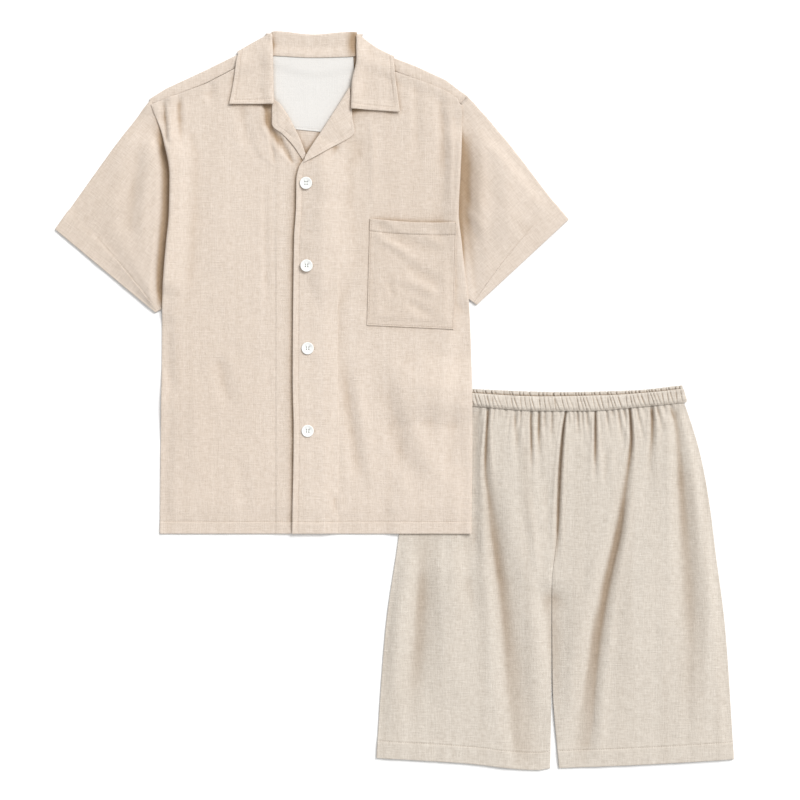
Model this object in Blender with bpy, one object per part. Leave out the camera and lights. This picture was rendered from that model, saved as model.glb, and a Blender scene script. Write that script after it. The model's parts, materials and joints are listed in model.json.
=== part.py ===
"""A summer lounge set laid out flat: an open-collar shirt over the corner of its shorts.

Every piece of cloth is a closed wall. A piece that lies on others is laid on the pile
of pieces below it, so it rises over their edges and never touches them. Sizes are in
millimetres in each garment's own frame: x to the wearer's left from the middle, and
height up from the hem. Z is up from the surface that the set lies on.
"""

import math
from collections import namedtuple

import bmesh
import bpy
from mathutils import Vector
from mathutils.bvhtree import BVHTree

# ---------------------------------------------------------------- driving sizes
MM = 0.001
WALL = 1.0                    # the slubby double-gauze cloth
GAP = 0.3                     # air between one piece and the next
SHIRT_AT = (-118.5, -201.1)   # middle of the shirt's hem, from the set's middle
SHORTS_AT = (240.4, -555.3)   # point between the legs, level with their lowest hem
UP = Vector((0, 0, 1))
DOWN = Vector((0, 0, -1))

ABOVE_ALL = 500               # a height that no cloth reaches
RING_POINTS = 20              # where a point's surroundings are felt

Edges = namedtuple("Edges", "height right left")
Line = namedtuple("Line", "x height")
Along = namedtuple("Along", "part x height")

# Shirt: side seams, then the armholes up to the shoulder tips
SHIRT_SIDES = (
    Edges(0, -233, 233),
    Edges(160, -231.5, 234.5),
    Edges(255, -230, 233),
    Edges(345, -229, 229.5),
    Edges(390, -226.5, 224),
    Edges(437, -222.5, 218.5),
    Edges(480, -218.5, 214),
    Edges(535, -217.5, 216.5),
    Edges(597, -229, 219),
    Edges(642, -246, 219.5),
    Edges(652, -249, 228),
)
# Fold over the shoulders, and the back neckline between them
SHIRT_TOP = (
    Line(-249, 651), Line(-223, 667), Line(-169, 692), Line(-116, 718), Line(-72, 735),
    Line(-60, 718), Line(-5, 713), Line(50, 715.5), Line(66, 730),
    Line(116, 713), Line(150, 700), Line(195.5, 679), Line(213.5, 665), Line(228, 655),
)
SHOULDER_SLOPE = 0.45         # how steeply the shoulders fall away from the neck
# The back ends on the chest side of the shoulder, where the fronts are sewn to it
SHOULDER_SEAM = (
    Line(-246, 643), Line(-220, 653), Line(-166, 674), Line(-120, 698), Line(-72, 720),
    Line(66, 712), Line(121, 692), Line(166, 675), Line(192, 663), Line(219, 642),
)
# Front edges: straight below the V, then along the roll of the lapels to the neck
RIGHT_FRONT_EDGE = (
    Line(11, 0), Line(11, 545), Line(-14, 566), Line(-24, 589), Line(-33, 607),
    Line(-45, 626), Line(-60, 645), Line(-67, 690), Line(-71, 721),
)
LEFT_FRONT_EDGE = (
    Line(-35, 0), Line(-33, 157), Line(-35, 230), Line(-33.5, 440), Line(-29.5, 490),
    Line(-29, 530), Line(-24, 550), Line(-17, 560), Line(12, 604), Line(43, 652),
    Line(57, 678), Line(62, 707), Line(66, 713),
)
# Turned-out facings: the free edge and the roll, read at the same part of their length
RIGHT_LAPEL_EDGE = (
    Along(0, -18.5, 559), Along(0.3, -34, 582), Along(0.55, -49, 598),
    Along(0.8, -65, 614), Along(1, -65, 652),
)
RIGHT_LAPEL_ROLL = (
    Along(0, -15.5, 566), Along(0.3, -24, 588), Along(0.55, -32, 605),
    Along(0.8, -41, 622), Along(1, -56, 646),
)
LEFT_LAPEL_EDGE = (
    Along(0, -17.5, 555), Along(0.2, 3, 566), Along(0.4, 22, 577),
    Along(0.65, 58.5, 602), Along(0.85, 55, 626), Along(1, 54, 648),
)
LEFT_LAPEL_ROLL = (
    Along(0, -16, 561), Along(0.2, -2, 583), Along(0.4, 12, 604),
    Along(0.65, 29, 630), Along(0.85, 43, 652), Along(1, 51, 666),
)
# Collar: each leaf from its lower end (0) to the fold beside the neck (1)
RIGHT_LEAF_EDGE = (
    Along(0, -129, 643), Along(0.35, -123.5, 672), Along(0.7, -119.5, 699), Along(1, -117.5, 723),
)
RIGHT_LEAF_ROLL = (
    Along(0, -65, 643), Along(0.35, -66, 680), Along(0.7, -66.5, 715), Along(1, -70, 751),
)
LEFT_LEAF_EDGE = (
    Along(0, 126.5, 631), Along(0.35, 122.5, 662), Along(0.7, 119, 688), Along(1, 118, 716),
)
LEFT_LEAF_ROLL = (
    Along(0, 56, 636), Along(0.35, 57.5, 676), Along(0.7, 64.5, 712), Along(1, 66, 749),
)
# Collar behind the neck: roll at the top, outer edge under the back
NECK_ROLL = (
    Along(0, -70, 751), Along(0.12, -62, 752), Along(0.5, -4, 747.5), Along(0.88, 56, 751),
    Along(1, 66, 749),
)
NECK_FALL = (
    Along(0, -117.5, 723), Along(0.12, -92, 707), Along(0.5, 0, 694), Along(0.88, 90, 702),
    Along(1, 118, 716),
)
NECK_SEAM = (
    Line(-62, 724.5), Line(-56, 720), Line(-5, 715), Line(46, 717.5), Line(52, 721), Line(56, 725))
STAND_ROLL = 4.0              # height of the roll behind the neck

PATCH_SIDES = (Edges(602, -58, 34), Edges(640, -66, 48), Edges(680, -71, 58), Edges(716, -62, 56))
PATCH_TOP = (Line(-62, 716), Line(-5, 711.5), Line(56, 714))
PATCH_HEM = (Line(-58, 609), Line(-12, 604), Line(34, 599.5))

# Sleeves: the fold along the top of the arm, and the hem from that fold to the underarm
Sleeve = namedtuple("Sleeve", "fold hem_outer hem_inner underarm")
RIGHT_SLEEVE = Sleeve(
    fold=(Along(0, -249.5, 650), Along(0.24, -284.5, 605), Along(0.47, -317.5, 560),
          Along(0.85, -370, 485), Along(1, -389, 454)),
    hem_outer=(-389, 454), hem_inner=(-240, 331.5), underarm=(-230, 342))
LEFT_SLEEVE = Sleeve(
    fold=(Along(0, 228.8, 656), Along(0.28, 273.5, 605), Along(0.52, 308, 560),
          Along(0.755, 341, 515), Along(1, 378, 469.5)),
    hem_outer=(378, 469.5), hem_inner=(241.5, 343), underarm=(231, 359))
ARM_SLOPE = 0.8               # how steeply the top of the arm falls
Tuck = namedtuple("Tuck", "height upper lower")
SLEEVE_TUCK = (               # how far each layer goes in between the front and the back
    Tuck(340, 7, 3), Tuck(560, 7, 3), Tuck(600, 3, 3), Tuck(630, 1, 1), Tuck(660, 1, 1))

POCKET = dict(right_top=(81.5, 472), left_top=(211, 466), right_foot=(77, 312), left_foot=(207, 306))
POCKET_TOP_SAG = 2.5

BUTTONS = (Line(-14, 524.5), Line(-13, 401), Line(-11.5, 277.5), Line(-11.5, 154))
BUTTON_RADIUS = 9.2
BUTTON_RIM = 1.5              # width of the raised rim
BUTTON_HEIGHT = 2.4
BUTTON_DISH = 0.6             # depth of the face inside the rim
BUTTON_BACK_ROUND = 0.85      # the rounding of its edge, at the back and at the front
BUTTON_FRONT_ROUND = 0.7
BUTTON_SIDES = 40
BUTTON_HOLES = 4
BUTTON_HOLE_RADIUS = 0.9
BUTTON_HOLE_CIRCLE = 2.6

# Shorts: outer sides, the middle seam down to the crotch, and the inside of each leg
SHORTS_SIDES = (
    Edges(0, -269, 269), Edges(16, -268, 268), Edges(211, -254, 255), Edges(330, -240, 240),
    Edges(387, -229, 231), Edges(462, -216, 221), Edges(540, -198, 199), Edges(556, -192, 190))
SHORTS_INNER = (
    Edges(0, -7.5, 6), Edges(131, -5.6, -3.9), Edges(276, -5.2, -4.8), Edges(358, 2.8, 3.2),
    Edges(462, 5.8, 6.2), Edges(556, 15.8, 16.2))
LEG_HEM = (
    Line(-268, 18), Line(-139, 10.5), Line(-25, 0), Line(-7.5, 2.5),
    Line(6, 3), Line(128, 8), Line(268, 16))
LEG_FOOT = (268, 7)           # from the middle to a leg's outer side and inner seam, at the hem
LEG_HEAD = (197, 15.5)        # the same at the waistband
BAND_FOOT = (
    Line(-200, 551), Line(-123, 545), Line(-21, 538), Line(47, 538), Line(116, 543),
    Line(197, 551))
FRONT_BAND_TOP = (
    Line(-196, 572), Line(-123, 565), Line(-21, 560), Line(82, 562), Line(151, 567),
    Line(194, 572))
BACK_BAND_TOP = (
    Line(-196, 577), Line(-123, 571), Line(13, 566.5), Line(116, 569), Line(194, 577))
BAND_ENDS = (-196, 192)
BAND_FOOT_ENDS = (-199, 197)
BAND_WALL = 1.6               # cloth gathered over the elastic
BAND_COLUMNS = 34             # a ridge on every other one
BAND_ROWS = 2
BAND_TUCK = 4                 # how far the legs go up between its faces
GATHER_HEIGHT = 0.7

Fold = namedtuple("Fold", "height x rise")
RIGHT_LEG_FOLD = (            # the long soft fold down each leg's front
    Fold(0, -28, 0), Fold(39, -32, 0.6), Fold(96, -51, 2.2), Fold(211, -78, 3),
    Fold(345, -101, 3), Fold(470, -108, 2.2), Fold(545, -99, 1))
LEFT_LEG_FOLD = (
    Fold(0, 26, 0), Fold(39, 29, 0.6), Fold(96, 44, 2.2), Fold(211, 75, 3),
    Fold(345, 94, 3), Fold(470, 70, 2), Fold(545, 55, 1.4))
FOLD_HALF = 16                # from a fold's ridge to the flat cloth beside it

# ---------------------------------------------------------------- reading tables


def mix(a, b, share):
    return a + (b - a) * share


def read(rows, key, at, column):
    """A column's value between two rows, straight from one to the next, ends held."""
    before = rows[0]
    for row in rows:
        here = getattr(row, key)
        if here >= at:
            start = getattr(before, key)
            share = (at - start) / (here - start) if here > start else 0
            return mix(getattr(before, column), getattr(row, column), share)
        before = row
    return getattr(before, column)


def along(rows, part):
    return read(rows, "part", part, "x"), read(rows, "part", part, "height")


def spread(marks, cells):
    """Marks joined by a given number of even steps between each and the next."""
    steps = []
    for start, end, count in zip(marks, marks[1:], cells):
        steps += [mix(start, end, n / count) for n in range(count)]
    return steps + [marks[-1]]


# ---------------------------------------------------------------- cloth on a pile


class Pile:
    """What lies on the surface so far."""

    def __init__(self, *pieces):
        self.pieces = []
        for piece in pieces:
            self.add(piece)

    def add(self, bm):
        points = [v.co.copy() / MM for v in bm.verts]
        low = Vector([min(p[k] for p in points) for k in range(3)])
        high = Vector([max(p[k] for p in points) for k in range(3)])
        self.pieces.append((BVHTree.FromBMesh(bm), points, low, high))

    def plus(self, *pieces):
        taller = Pile()
        taller.pieces = list(self.pieces)
        for piece in pieces:
            taller.add(piece)
        return taller

    def top(self, x, y, reach):
        """The highest point within reach, and 0 on the bare surface."""
        highest = 0.0
        around = [(x, y)]
        for n in range(RING_POINTS):
            turn = math.tau * n / RING_POINTS
            for far in (reach / 2, reach):
                around.append((x + far * math.cos(turn), y + far * math.sin(turn)))
        for tree, points, low, high in self.pieces:
            if not (low.x - reach < x < high.x + reach and low.y - reach < y < high.y + reach):
                continue
            if high.z <= highest:
                continue
            for p in points:
                if p.z > highest and (p.x - x) ** 2 + (p.y - y) ** 2 <= reach * reach:
                    highest = p.z
            for px, py in around:
                hit = tree.ray_cast(Vector((px, py, ABOVE_ALL)) * MM, DOWN)[0]
                if hit:
                    highest = max(highest, hit.z / MM)
        return highest


def wall(columns, rows, place, keep=None):
    """A closed wall: the grid's corner (i, j) goes to place(i, j), then it gets its thickness.

    place gives the middle of the wall, the way its outer side faces, and half its thickness.
    """
    bm = bmesh.new()
    bmesh.ops.create_grid(bm, x_segments=columns, y_segments=rows, size=0.5)

    def corner(vert):
        return round((vert.co.x + 0.5) * columns), round((vert.co.y + 0.5) * rows)

    if keep:
        gone = [f for f in bm.faces
                if not keep(min(corner(v)[0] for v in f.verts), min(corner(v)[1] for v in f.verts))]
        bmesh.ops.delete(bm, geom=gone, context="FACES")
    grown = bmesh.ops.extrude_face_region(bm, geom=bm.faces[:], use_keep_orig=True)["geom"]
    inner = {g for g in grown if isinstance(g, bmesh.types.BMVert)}
    places = {}
    for vert in bm.verts:
        spot = corner(vert)
        if spot not in places:
            places[spot] = place(*spot)
        middle, facing, half = places[spot]
        side = -1 if vert in inner else 1
        vert.co = (middle + facing.normalized() * half * side) * MM
    face_outwards(bm)
    return bm


def face_outwards(bm):
    bmesh.ops.recalc_face_normals(bm, faces=bm.faces[:])
    if bm.calc_volume(signed=True) < 0:
        bmesh.ops.reverse_faces(bm, faces=bm.faces[:])


def laid(plan, columns, rows, pile, rise=None, thick=WALL):
    """place() for a panel that lies on the pile; plan gives the panel's points from above."""

    def place(i, j):
        x, y = plan(i, j)
        reach = 0.0
        for di in (-1, 0, 1):
            for dj in (-1, 0, 1):
                if 0 <= i + di <= columns and 0 <= j + dj <= rows:
                    nx, ny = plan(i + di, j + dj)
                    reach = max(reach, math.hypot(nx - x, ny - y))
        below = pile.top(x, y, reach + 0.5)
        under = below + GAP if below > 0 else 0.0
        if rise:
            under += rise(x, y)
        return Vector((x, y, under + thick / 2)), UP, thick / 2

    return place


def finish(name, bm, color, roughness=0.9, smooth=True):
    """The named object with its own plain material."""
    mesh = bpy.data.meshes.new(name)
    bm.to_mesh(mesh)
    material = bpy.data.materials.new(name)
    material.use_nodes = True
    shader = material.node_tree.nodes["Principled BSDF"]
    shader.inputs["Base Color"].default_value = (*color, 1)
    shader.inputs["Roughness"].default_value = roughness
    shader.inputs["Metallic"].default_value = 0
    mesh.materials.append(material)
    if smooth:
        mesh.shade_smooth()
        mesh.set_sharp_from_angle(angle=math.radians(40))
    piece = bpy.data.objects.new(name, mesh)
    bpy.context.scene.collection.objects.link(piece)
    return piece


# ---------------------------------------------------------------- shared shapes


def on_shirt(x, height):
    return SHIRT_AT[0] + x, SHIRT_AT[1] + height


def on_shorts(x, height):
    return SHORTS_AT[0] + x, SHORTS_AT[1] + height


def fold_between(low, high, outward, thick=WALL):
    """The outermost point of a fold that joins two layers of one piece."""
    radius = (high.z - low.z) / 2
    outward = outward.normalized()
    middle = (low + high) / 2 + outward * radius
    return middle, outward, thick / 2


CLOTH_COLOR = (0.76, 0.67, 0.58)
SHORTS_COLOR = (0.68, 0.61, 0.53)
PATCH_COLOR = (0.90, 0.87, 0.84)
BUTTON_COLOR = (0.85, 0.85, 0.82)


# ---------------------------------------------------------------- the shorts


def leg_plan(side, columns, rows, fold):
    """One leg's panel from its side seam (column 0) to its inner seam."""
    inside_of = "right" if side < 0 else "left"
    inset = GAP / 2 * side

    def plan(i, j):
        share = i / columns
        foot = read(LEG_HEM, "x", side * mix(*LEG_FOOT, share), "height")
        head_x = mix(side * LEG_HEAD[0], LEG_HEAD[1], share)
        head = read(BAND_FOOT, "x", head_x, "height") + BAND_TUCK
        height = mix(foot, head, j / rows)
        outer = read(SHORTS_SIDES, "height", height, inside_of)
        inner = read(SHORTS_INNER, "height", height, inside_of) + inset
        if fold is None:
            return on_shorts(mix(outer, inner, share), height)
        ridge = read(fold, "height", height, "x")
        stops = [outer, mix(outer, ridge, 0.4), mix(outer, ridge, 0.75), ridge - FOLD_HALF * -side,
                 ridge, ridge + FOLD_HALF * -side, mix(ridge, inner, 0.6), inner]
        stops.sort(reverse=side > 0)
        return on_shorts(stops[i], height)

    return plan


def leg_rise(side, fold):
    def rise(x, y):
        height = y - SHORTS_AT[1]
        away = abs(x - SHORTS_AT[0] - read(fold, "height", height, "x")) / FOLD_HALF
        return read(fold, "height", height, "rise") * max(0.0, 1 - away)

    return rise


def make_legs(pile):
    """Back and front of each leg; the fronts lie on the backs."""
    walls = []
    for side, word, fold in ((-1, "right", RIGHT_LEG_FOLD), (1, "left", LEFT_LEG_FOLD)):
        columns, rows = 5, 9
        back = wall(columns, rows, laid(leg_plan(side, columns, rows, None), columns, rows, pile))
        finish("shorts_back_" + word, back, SHORTS_COLOR)
        columns, rows = 7, 12
        front_place = laid(leg_plan(side, columns, rows, fold), columns, rows, pile.plus(back),
                           leg_rise(side, fold))
        front = wall(columns, rows, front_place)
        finish("shorts_front_" + word, front, SHORTS_COLOR)
        walls += [back, front]
    return walls


def band_layer(tops, pile):
    """place() for one face of the waistband, from the wearer's right to the left."""

    def plan(i, j):
        share = i / BAND_COLUMNS
        head_x, foot_x = mix(*BAND_ENDS, share), mix(*BAND_FOOT_ENDS, share)
        head = read(tops, "x", head_x, "height")
        foot = read(BAND_FOOT, "x", foot_x, "height")
        return on_shorts(mix(foot_x, head_x, j / BAND_ROWS), mix(foot, head, j / BAND_ROWS))

    return laid(plan, BAND_COLUMNS, BAND_ROWS, pile, thick=BAND_WALL)


def make_shorts():
    """The legs go up between the faces of an elastic waistband, one gathered strip laid double."""
    under = band_layer(BACK_BAND_TOP, Pile())
    back_face = wall(BAND_COLUMNS, BAND_ROWS, under)
    legs = make_legs(Pile(back_face))
    over = band_layer(FRONT_BAND_TOP, Pile(back_face, *legs))

    def place(i, j):
        if i <= BAND_COLUMNS:
            middle, _, half = under(i, j)
            return middle, DOWN, half
        if i == BAND_COLUMNS + 1:
            return fold_between(under(BAND_COLUMNS, j)[0], over(BAND_COLUMNS, j)[0],
                                Vector((1, 0, 0)), BAND_WALL)
        middle, facing, half = over(2 * BAND_COLUMNS + 2 - i, j)
        ridge = GATHER_HEIGHT / 2 if i % 2 else 0
        return middle + UP * ridge, facing, half + ridge

    band = wall(2 * BAND_COLUMNS + 2, BAND_ROWS, place)
    finish("waistband", band, SHORTS_COLOR)
    return legs + [band]


# ---------------------------------------------------------------- the shirt


def panel_plan(columns_x, rows_v, top, right_edge, left_edge, foot=None):
    """Plan of an upright panel: columns run from the hem to where they meet the top line."""
    first, last = columns_x[0], columns_x[-1]

    def plan(i, j):
        share = (columns_x[i] - first) / (last - first)
        head = top(columns_x[i])
        low = foot(share) if foot else 0
        height = mix(low, head, rows_v[j])
        return on_shirt(mix(right_edge(height), left_edge(height), share), height)

    return plan


def side_edge(word, inset=0.0):
    def edge(height):
        return read(SHIRT_SIDES, "height", height, word) + inset

    return edge


BACK_COLUMNS = (-249, -223, -190, -150, -112, -72, -60, -32, -5, 25, 50, 66, 112, 150, 197, 228)
BACK_NECK = (5, 11)           # the columns that end at the neckline, with no shoulder above them
BACK_ROWS = tuple(spread((0, 0.2, 0.45, 0.86, 1), (4, 4, 5, 3)))
FLAP_ROWS = 2


def make_back(pile):
    """Back panel: over the shoulders it turns to the chest side and ends at the seam."""
    columns = len(BACK_COLUMNS) - 1
    main = len(BACK_ROWS) - 1

    def top(x):
        return read(SHIRT_TOP, "x", x, "height")

    plan = panel_plan(BACK_COLUMNS, BACK_ROWS, top, side_edge("right"), side_edge("left"))
    lower = laid(plan, columns, main, pile)

    draft = wall(columns, main, lower)
    over = pile.plus(draft)

    def flap_plan(i, j):
        x = BACK_COLUMNS[i]
        seam_x = max(SHOULDER_SEAM[0].x, min(SHOULDER_SEAM[-1].x, x))
        seam = read(SHOULDER_SEAM, "x", seam_x, "height")
        return on_shirt(mix(x, seam_x, j / FLAP_ROWS), mix(top(x), seam, j / FLAP_ROWS))

    flap = laid(flap_plan, columns, FLAP_ROWS, over)

    def place(i, j):
        if j <= main:
            middle, _, half = lower(i, j)
            return middle, DOWN, half
        if j > main + 1:
            return flap(i, j - main - 2)
        side = -1 if i <= BACK_NECK[0] else 1
        outward = Vector((side * SHOULDER_SLOPE, 1, 0))
        return fold_between(lower(i, main)[0], flap(i, 0)[0], outward)

    def keep(i, j):
        return j < main or not BACK_NECK[0] <= i < BACK_NECK[1]

    back = wall(columns, main + 2 + FLAP_ROWS, place, keep)
    finish("shirt_back", back, CLOTH_COLOR)
    return back


def make_sleeve(word, cut, pile):
    """Sleeve: one panel folded along the top of the arm, its seam open by a gap underneath."""
    outward = -1 if word == "right" else 1
    across, length = 7, 6
    armhole_foot, armhole_head = cut.underarm[1], along(cut.fold, 0)[1]

    def layer_plan(layer):
        def plan(i, j):
            part, down = i / length, j / across     # part: armhole to hem; down: fold to underarm
            fold_x, fold_height = along(cut.fold, part)
            head = mix(armhole_head, armhole_foot, down)
            body = read(SHIRT_SIDES, "height", head, word)
            inside = read(SLEEVE_TUCK, "height", head, layer)
            start = (body - inside * outward, head)
            end = (mix(cut.hem_outer[0], cut.hem_inner[0], down),
                   mix(cut.hem_outer[1], cut.hem_inner[1], down))
            straight = (mix(start[0], end[0], part), mix(start[1], end[1], part))
            chord = (mix(along(cut.fold, 0)[0], cut.hem_outer[0], part),
                     mix(armhole_head, cut.hem_outer[1], part))
            bow = (fold_x - chord[0], fold_height - chord[1])
            fade = (1 - down) ** 2
            return on_shirt(straight[0] + bow[0] * fade, straight[1] + bow[1] * fade)

        return plan

    lower = laid(layer_plan("lower"), length, across, pile)
    draft = wall(length, across, lower)
    upper = laid(layer_plan("upper"), length, across, pile.plus(draft))

    def place(i, j):
        if j < across + 1:
            middle, _, half = lower(i, across - j)
            return middle, DOWN, half
        if j == across + 1:
            return fold_between(lower(i, 0)[0], upper(i, 0)[0], Vector((outward, ARM_SLOPE, 0)))
        return upper(i, j - across - 2)

    sleeve = wall(length, 2 * across + 2, place)
    finish("sleeve_" + word, sleeve, CLOTH_COLOR)
    return sleeve


def make_patch(pile):
    """White patch inside the back of the neck."""
    columns, rows = 8, 7

    def plan(i, j):
        share = i / columns
        head = read(PATCH_TOP, "x", mix(PATCH_TOP[0].x, PATCH_TOP[-1].x, share), "height")
        foot = read(PATCH_HEM, "x", mix(PATCH_HEM[0].x, PATCH_HEM[-1].x, share), "height")
        height = mix(foot, head, j / rows)
        sides = [read(PATCH_SIDES, "height", height, word) for word in ("right", "left")]
        return on_shirt(mix(*sides, share), height)

    patch = wall(columns, rows, laid(plan, columns, rows, pile))
    finish("neck_patch", patch, PATCH_COLOR)
    return patch


def make_front(word, pile):
    """One front, from its side and armhole to its front edge and the roll of its lapel."""
    if word == "right":
        columns_x = (-246, -228, -206, -180, -153, -126, -98, -71)
        edges = side_edge("right"), lambda h: read(RIGHT_FRONT_EDGE, "height", h, "x")
    else:
        columns_x = (66, 92, 118, 142, 165, 185, 203, 219)
        edges = lambda h: read(LEFT_FRONT_EDGE, "height", h, "x"), side_edge("left")

    def top(x):
        return read(SHOULDER_SEAM, "x", x, "height") - GAP

    rows_v = tuple(spread((0, 0.3, 0.76, 1), (5, 8, 8)))
    columns, rows = len(columns_x) - 1, len(rows_v) - 1
    plan = panel_plan(columns_x, rows_v, top, *edges)
    front = wall(columns, rows, laid(plan, columns, rows, pile))
    finish("front_" + word, front, CLOTH_COLOR)
    return front


def make_facing(word, edge, roll, pile):
    """The part of the facing that is turned out as a lapel."""
    columns, rows = 3, 10

    def plan(i, j):
        out_x, out_height = along(edge, j / rows)
        in_x, in_height = along(roll, j / rows)
        share = i / columns
        return on_shirt(mix(out_x, in_x, share), mix(out_height, in_height, share))

    facing = wall(columns, rows, laid(plan, columns, rows, pile))
    finish("facing_" + word, facing, CLOTH_COLOR)
    return facing


LEAF_CELLS = 5
NECK_CELLS = 9
FALL_CELLS = 5


def collar_columns():
    """What each column of the collar's grid is, and how far along its own stretch."""
    steps = [("right leaf", n / LEAF_CELLS) for n in range(LEAF_CELLS + 1)]
    steps += [("right fold", 1)]
    steps += [("neck", part) for part in spread((0, 0.12, 0.88, 1), (1, NECK_CELLS - 2, 1))]
    steps += [("left fold", 1)]
    steps += [("left leaf", 1 - n / LEAF_CELLS) for n in range(LEAF_CELLS + 1)]
    return steps


def collar_wall(pile, whole=True):
    """The collar: folded under behind the neck, its leaves turned over onto the chest.

    Not whole, it is only the part under the back.
    """
    steps = collar_columns()
    tables = {
        "right leaf": (RIGHT_LEAF_EDGE, RIGHT_LEAF_ROLL),
        "left leaf": (LEFT_LEAF_EDGE, LEFT_LEAF_ROLL),
        "neck": (NECK_FALL, NECK_ROLL),
    }
    level = WALL / 2
    stand_first = LEAF_CELLS + 3
    stand_last = stand_first + NECK_CELLS - 3

    def plan(kind, part, share):
        outer, inner = (along(table, part) for table in tables[kind])
        return on_shirt(mix(outer[0], inner[0], share), mix(outer[1], inner[1], share))

    def leaf(i, j):
        kind, part = steps[i]
        kind = kind.split()[0] + " leaf"

        def leaf_plan(a, b):
            return plan(kind, 1 - a / LEAF_CELLS, b / FALL_CELLS)

        return laid(leaf_plan, LEAF_CELLS, FALL_CELLS, pile)(round((1 - part) * LEAF_CELLS), j)

    def neck(part, j):
        x, y = plan("neck", part, min(j, FALL_CELLS) / FALL_CELLS)
        if j <= FALL_CELLS:
            return Vector((x, y, level)), DOWN, WALL / 2
        low, high = Vector((x, y, level)), Vector((x, y, level + STAND_ROLL))
        if j == FALL_CELLS + 1:
            return fold_between(low, high, Vector((0, 1, 0)))
        share = (j - FALL_CELLS - 2) / 2
        seam_x, seam_y = on_shirt(0, read(NECK_SEAM, "x", x - SHIRT_AT[0], "height"))
        return Vector((x, mix(y, seam_y, share), mix(high.z, level + WALL + GAP, share))), UP, WALL / 2

    def place(i, j):
        kind, part = steps[i]
        if kind == "neck":
            return neck(part, j)
        if not whole:
            return Vector((0, 0, 0)), UP, 0
        if "leaf" in kind:
            return leaf(i, j)
        side = -1 if "right" in kind else 1
        end = 0 if side < 0 else 1
        return fold_between(neck(end, j)[0], leaf(i, j)[0], Vector((side, 1, 0)))

    def keep(i, j):
        in_neck = LEAF_CELLS + 2 <= i < LEAF_CELLS + 2 + NECK_CELLS
        if j >= FALL_CELLS:
            return whole and stand_first <= i <= stand_last
        return in_neck or whole

    return wall(len(steps) - 1, FALL_CELLS + 4, place, keep)


def make_pocket(pile):
    columns, rows = 6, 7

    def plan(i, j):
        share, rise = i / columns, j / rows
        foot = [mix(*ends, share) for ends in zip(POCKET["right_foot"], POCKET["left_foot"])]
        head = [mix(*ends, share) for ends in zip(POCKET["right_top"], POCKET["left_top"])]
        head[1] -= POCKET_TOP_SAG * math.sin(math.pi * share)
        return on_shirt(mix(foot[0], head[0], rise), mix(foot[1], head[1], rise))

    pocket = wall(columns, rows, laid(plan, columns, rows, pile))
    finish("chest_pocket", pocket, CLOTH_COLOR)


def button_body():
    """A turned disc: flat back, round rim and a dished face."""
    radius, rim, dish = BUTTON_RADIUS, BUTTON_RIM, BUTTON_HEIGHT - BUTTON_DISH
    profile = [(0.0, 0.0), (radius - BUTTON_BACK_ROUND, 0.0), (radius, BUTTON_BACK_ROUND),
               (radius, BUTTON_HEIGHT - BUTTON_FRONT_ROUND), (radius - rim / 2, BUTTON_HEIGHT),
               (radius - rim, dish), (0.0, dish)]
    bm = bmesh.new()
    points = [bm.verts.new((r * MM, 0, z * MM)) for r, z in profile]
    edges = [bm.edges.new(pair) for pair in zip(points, points[1:])]
    bmesh.ops.spin(bm, geom=points + edges, cent=(0, 0, 0), axis=(0, 0, 1), angle=math.tau,
                   steps=BUTTON_SIDES, use_merge=True)
    bmesh.ops.remove_doubles(bm, verts=bm.verts[:], dist=0.01 * MM)
    face_outwards(bm)
    return bm


def button_holes():
    bm = bmesh.new()
    for n in range(BUTTON_HOLES):
        turn = math.tau * (n + 0.5) / BUTTON_HOLES
        made = bmesh.ops.create_cone(bm, cap_ends=True, segments=10, radius1=BUTTON_HOLE_RADIUS * MM,
                                     radius2=BUTTON_HOLE_RADIUS * MM, depth=4 * BUTTON_HEIGHT * MM)
        shift = Vector((math.cos(turn), math.sin(turn), 0)) * BUTTON_HOLE_CIRCLE * MM
        bmesh.ops.translate(bm, verts=made["verts"], vec=shift)
    return bm


def make_buttons(pile):
    for number, spot in enumerate(BUTTONS, 1):
        x, y = on_shirt(*spot)
        level = pile.top(x, y, BUTTON_RADIUS + 0.5) + GAP
        button = finish(f"button_{number}", button_body(), BUTTON_COLOR, roughness=0.35)
        cutter = finish(f"button_{number}_holes", button_holes(), BUTTON_COLOR, smooth=False)
        cutter.hide_render = True
        cutter.display_type = "WIRE"
        for piece in (button, cutter):
            piece.location = Vector((x, y, level)) * MM
        cut = button.modifiers.new("holes", "BOOLEAN")
        cut.operation = "DIFFERENCE"
        cut.solver = "EXACT"
        cut.object = cutter


# ---------------------------------------------------------------- the set


def main():
    for old in list(bpy.data.objects):
        bpy.data.objects.remove(old, do_unlink=True)
    shorts = make_shorts()
    under_collar = collar_wall(Pile(), whole=False)
    back = make_back(Pile(*shorts, under_collar))
    body = Pile(back)
    right_sleeve = make_sleeve("right", RIGHT_SLEEVE, body)
    left_sleeve = make_sleeve("left", LEFT_SLEEVE, body)
    patch = make_patch(body)
    body = Pile(back, right_sleeve, left_sleeve, patch)
    right_front = make_front("right", body)
    right_facing = make_facing("right", RIGHT_LAPEL_EDGE, RIGHT_LAPEL_ROLL, body.plus(right_front))
    body = body.plus(right_front, right_facing)
    left_front = make_front("left", body)
    left_facing = make_facing("left", LEFT_LAPEL_EDGE, LEFT_LAPEL_ROLL, body.plus(left_front))
    chest = body.plus(left_front, left_facing)
    finish("collar", collar_wall(chest), CLOTH_COLOR)
    make_pocket(chest)
    make_buttons(chest)


main()
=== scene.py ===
import json
import math
import random
from collections import namedtuple

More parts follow.
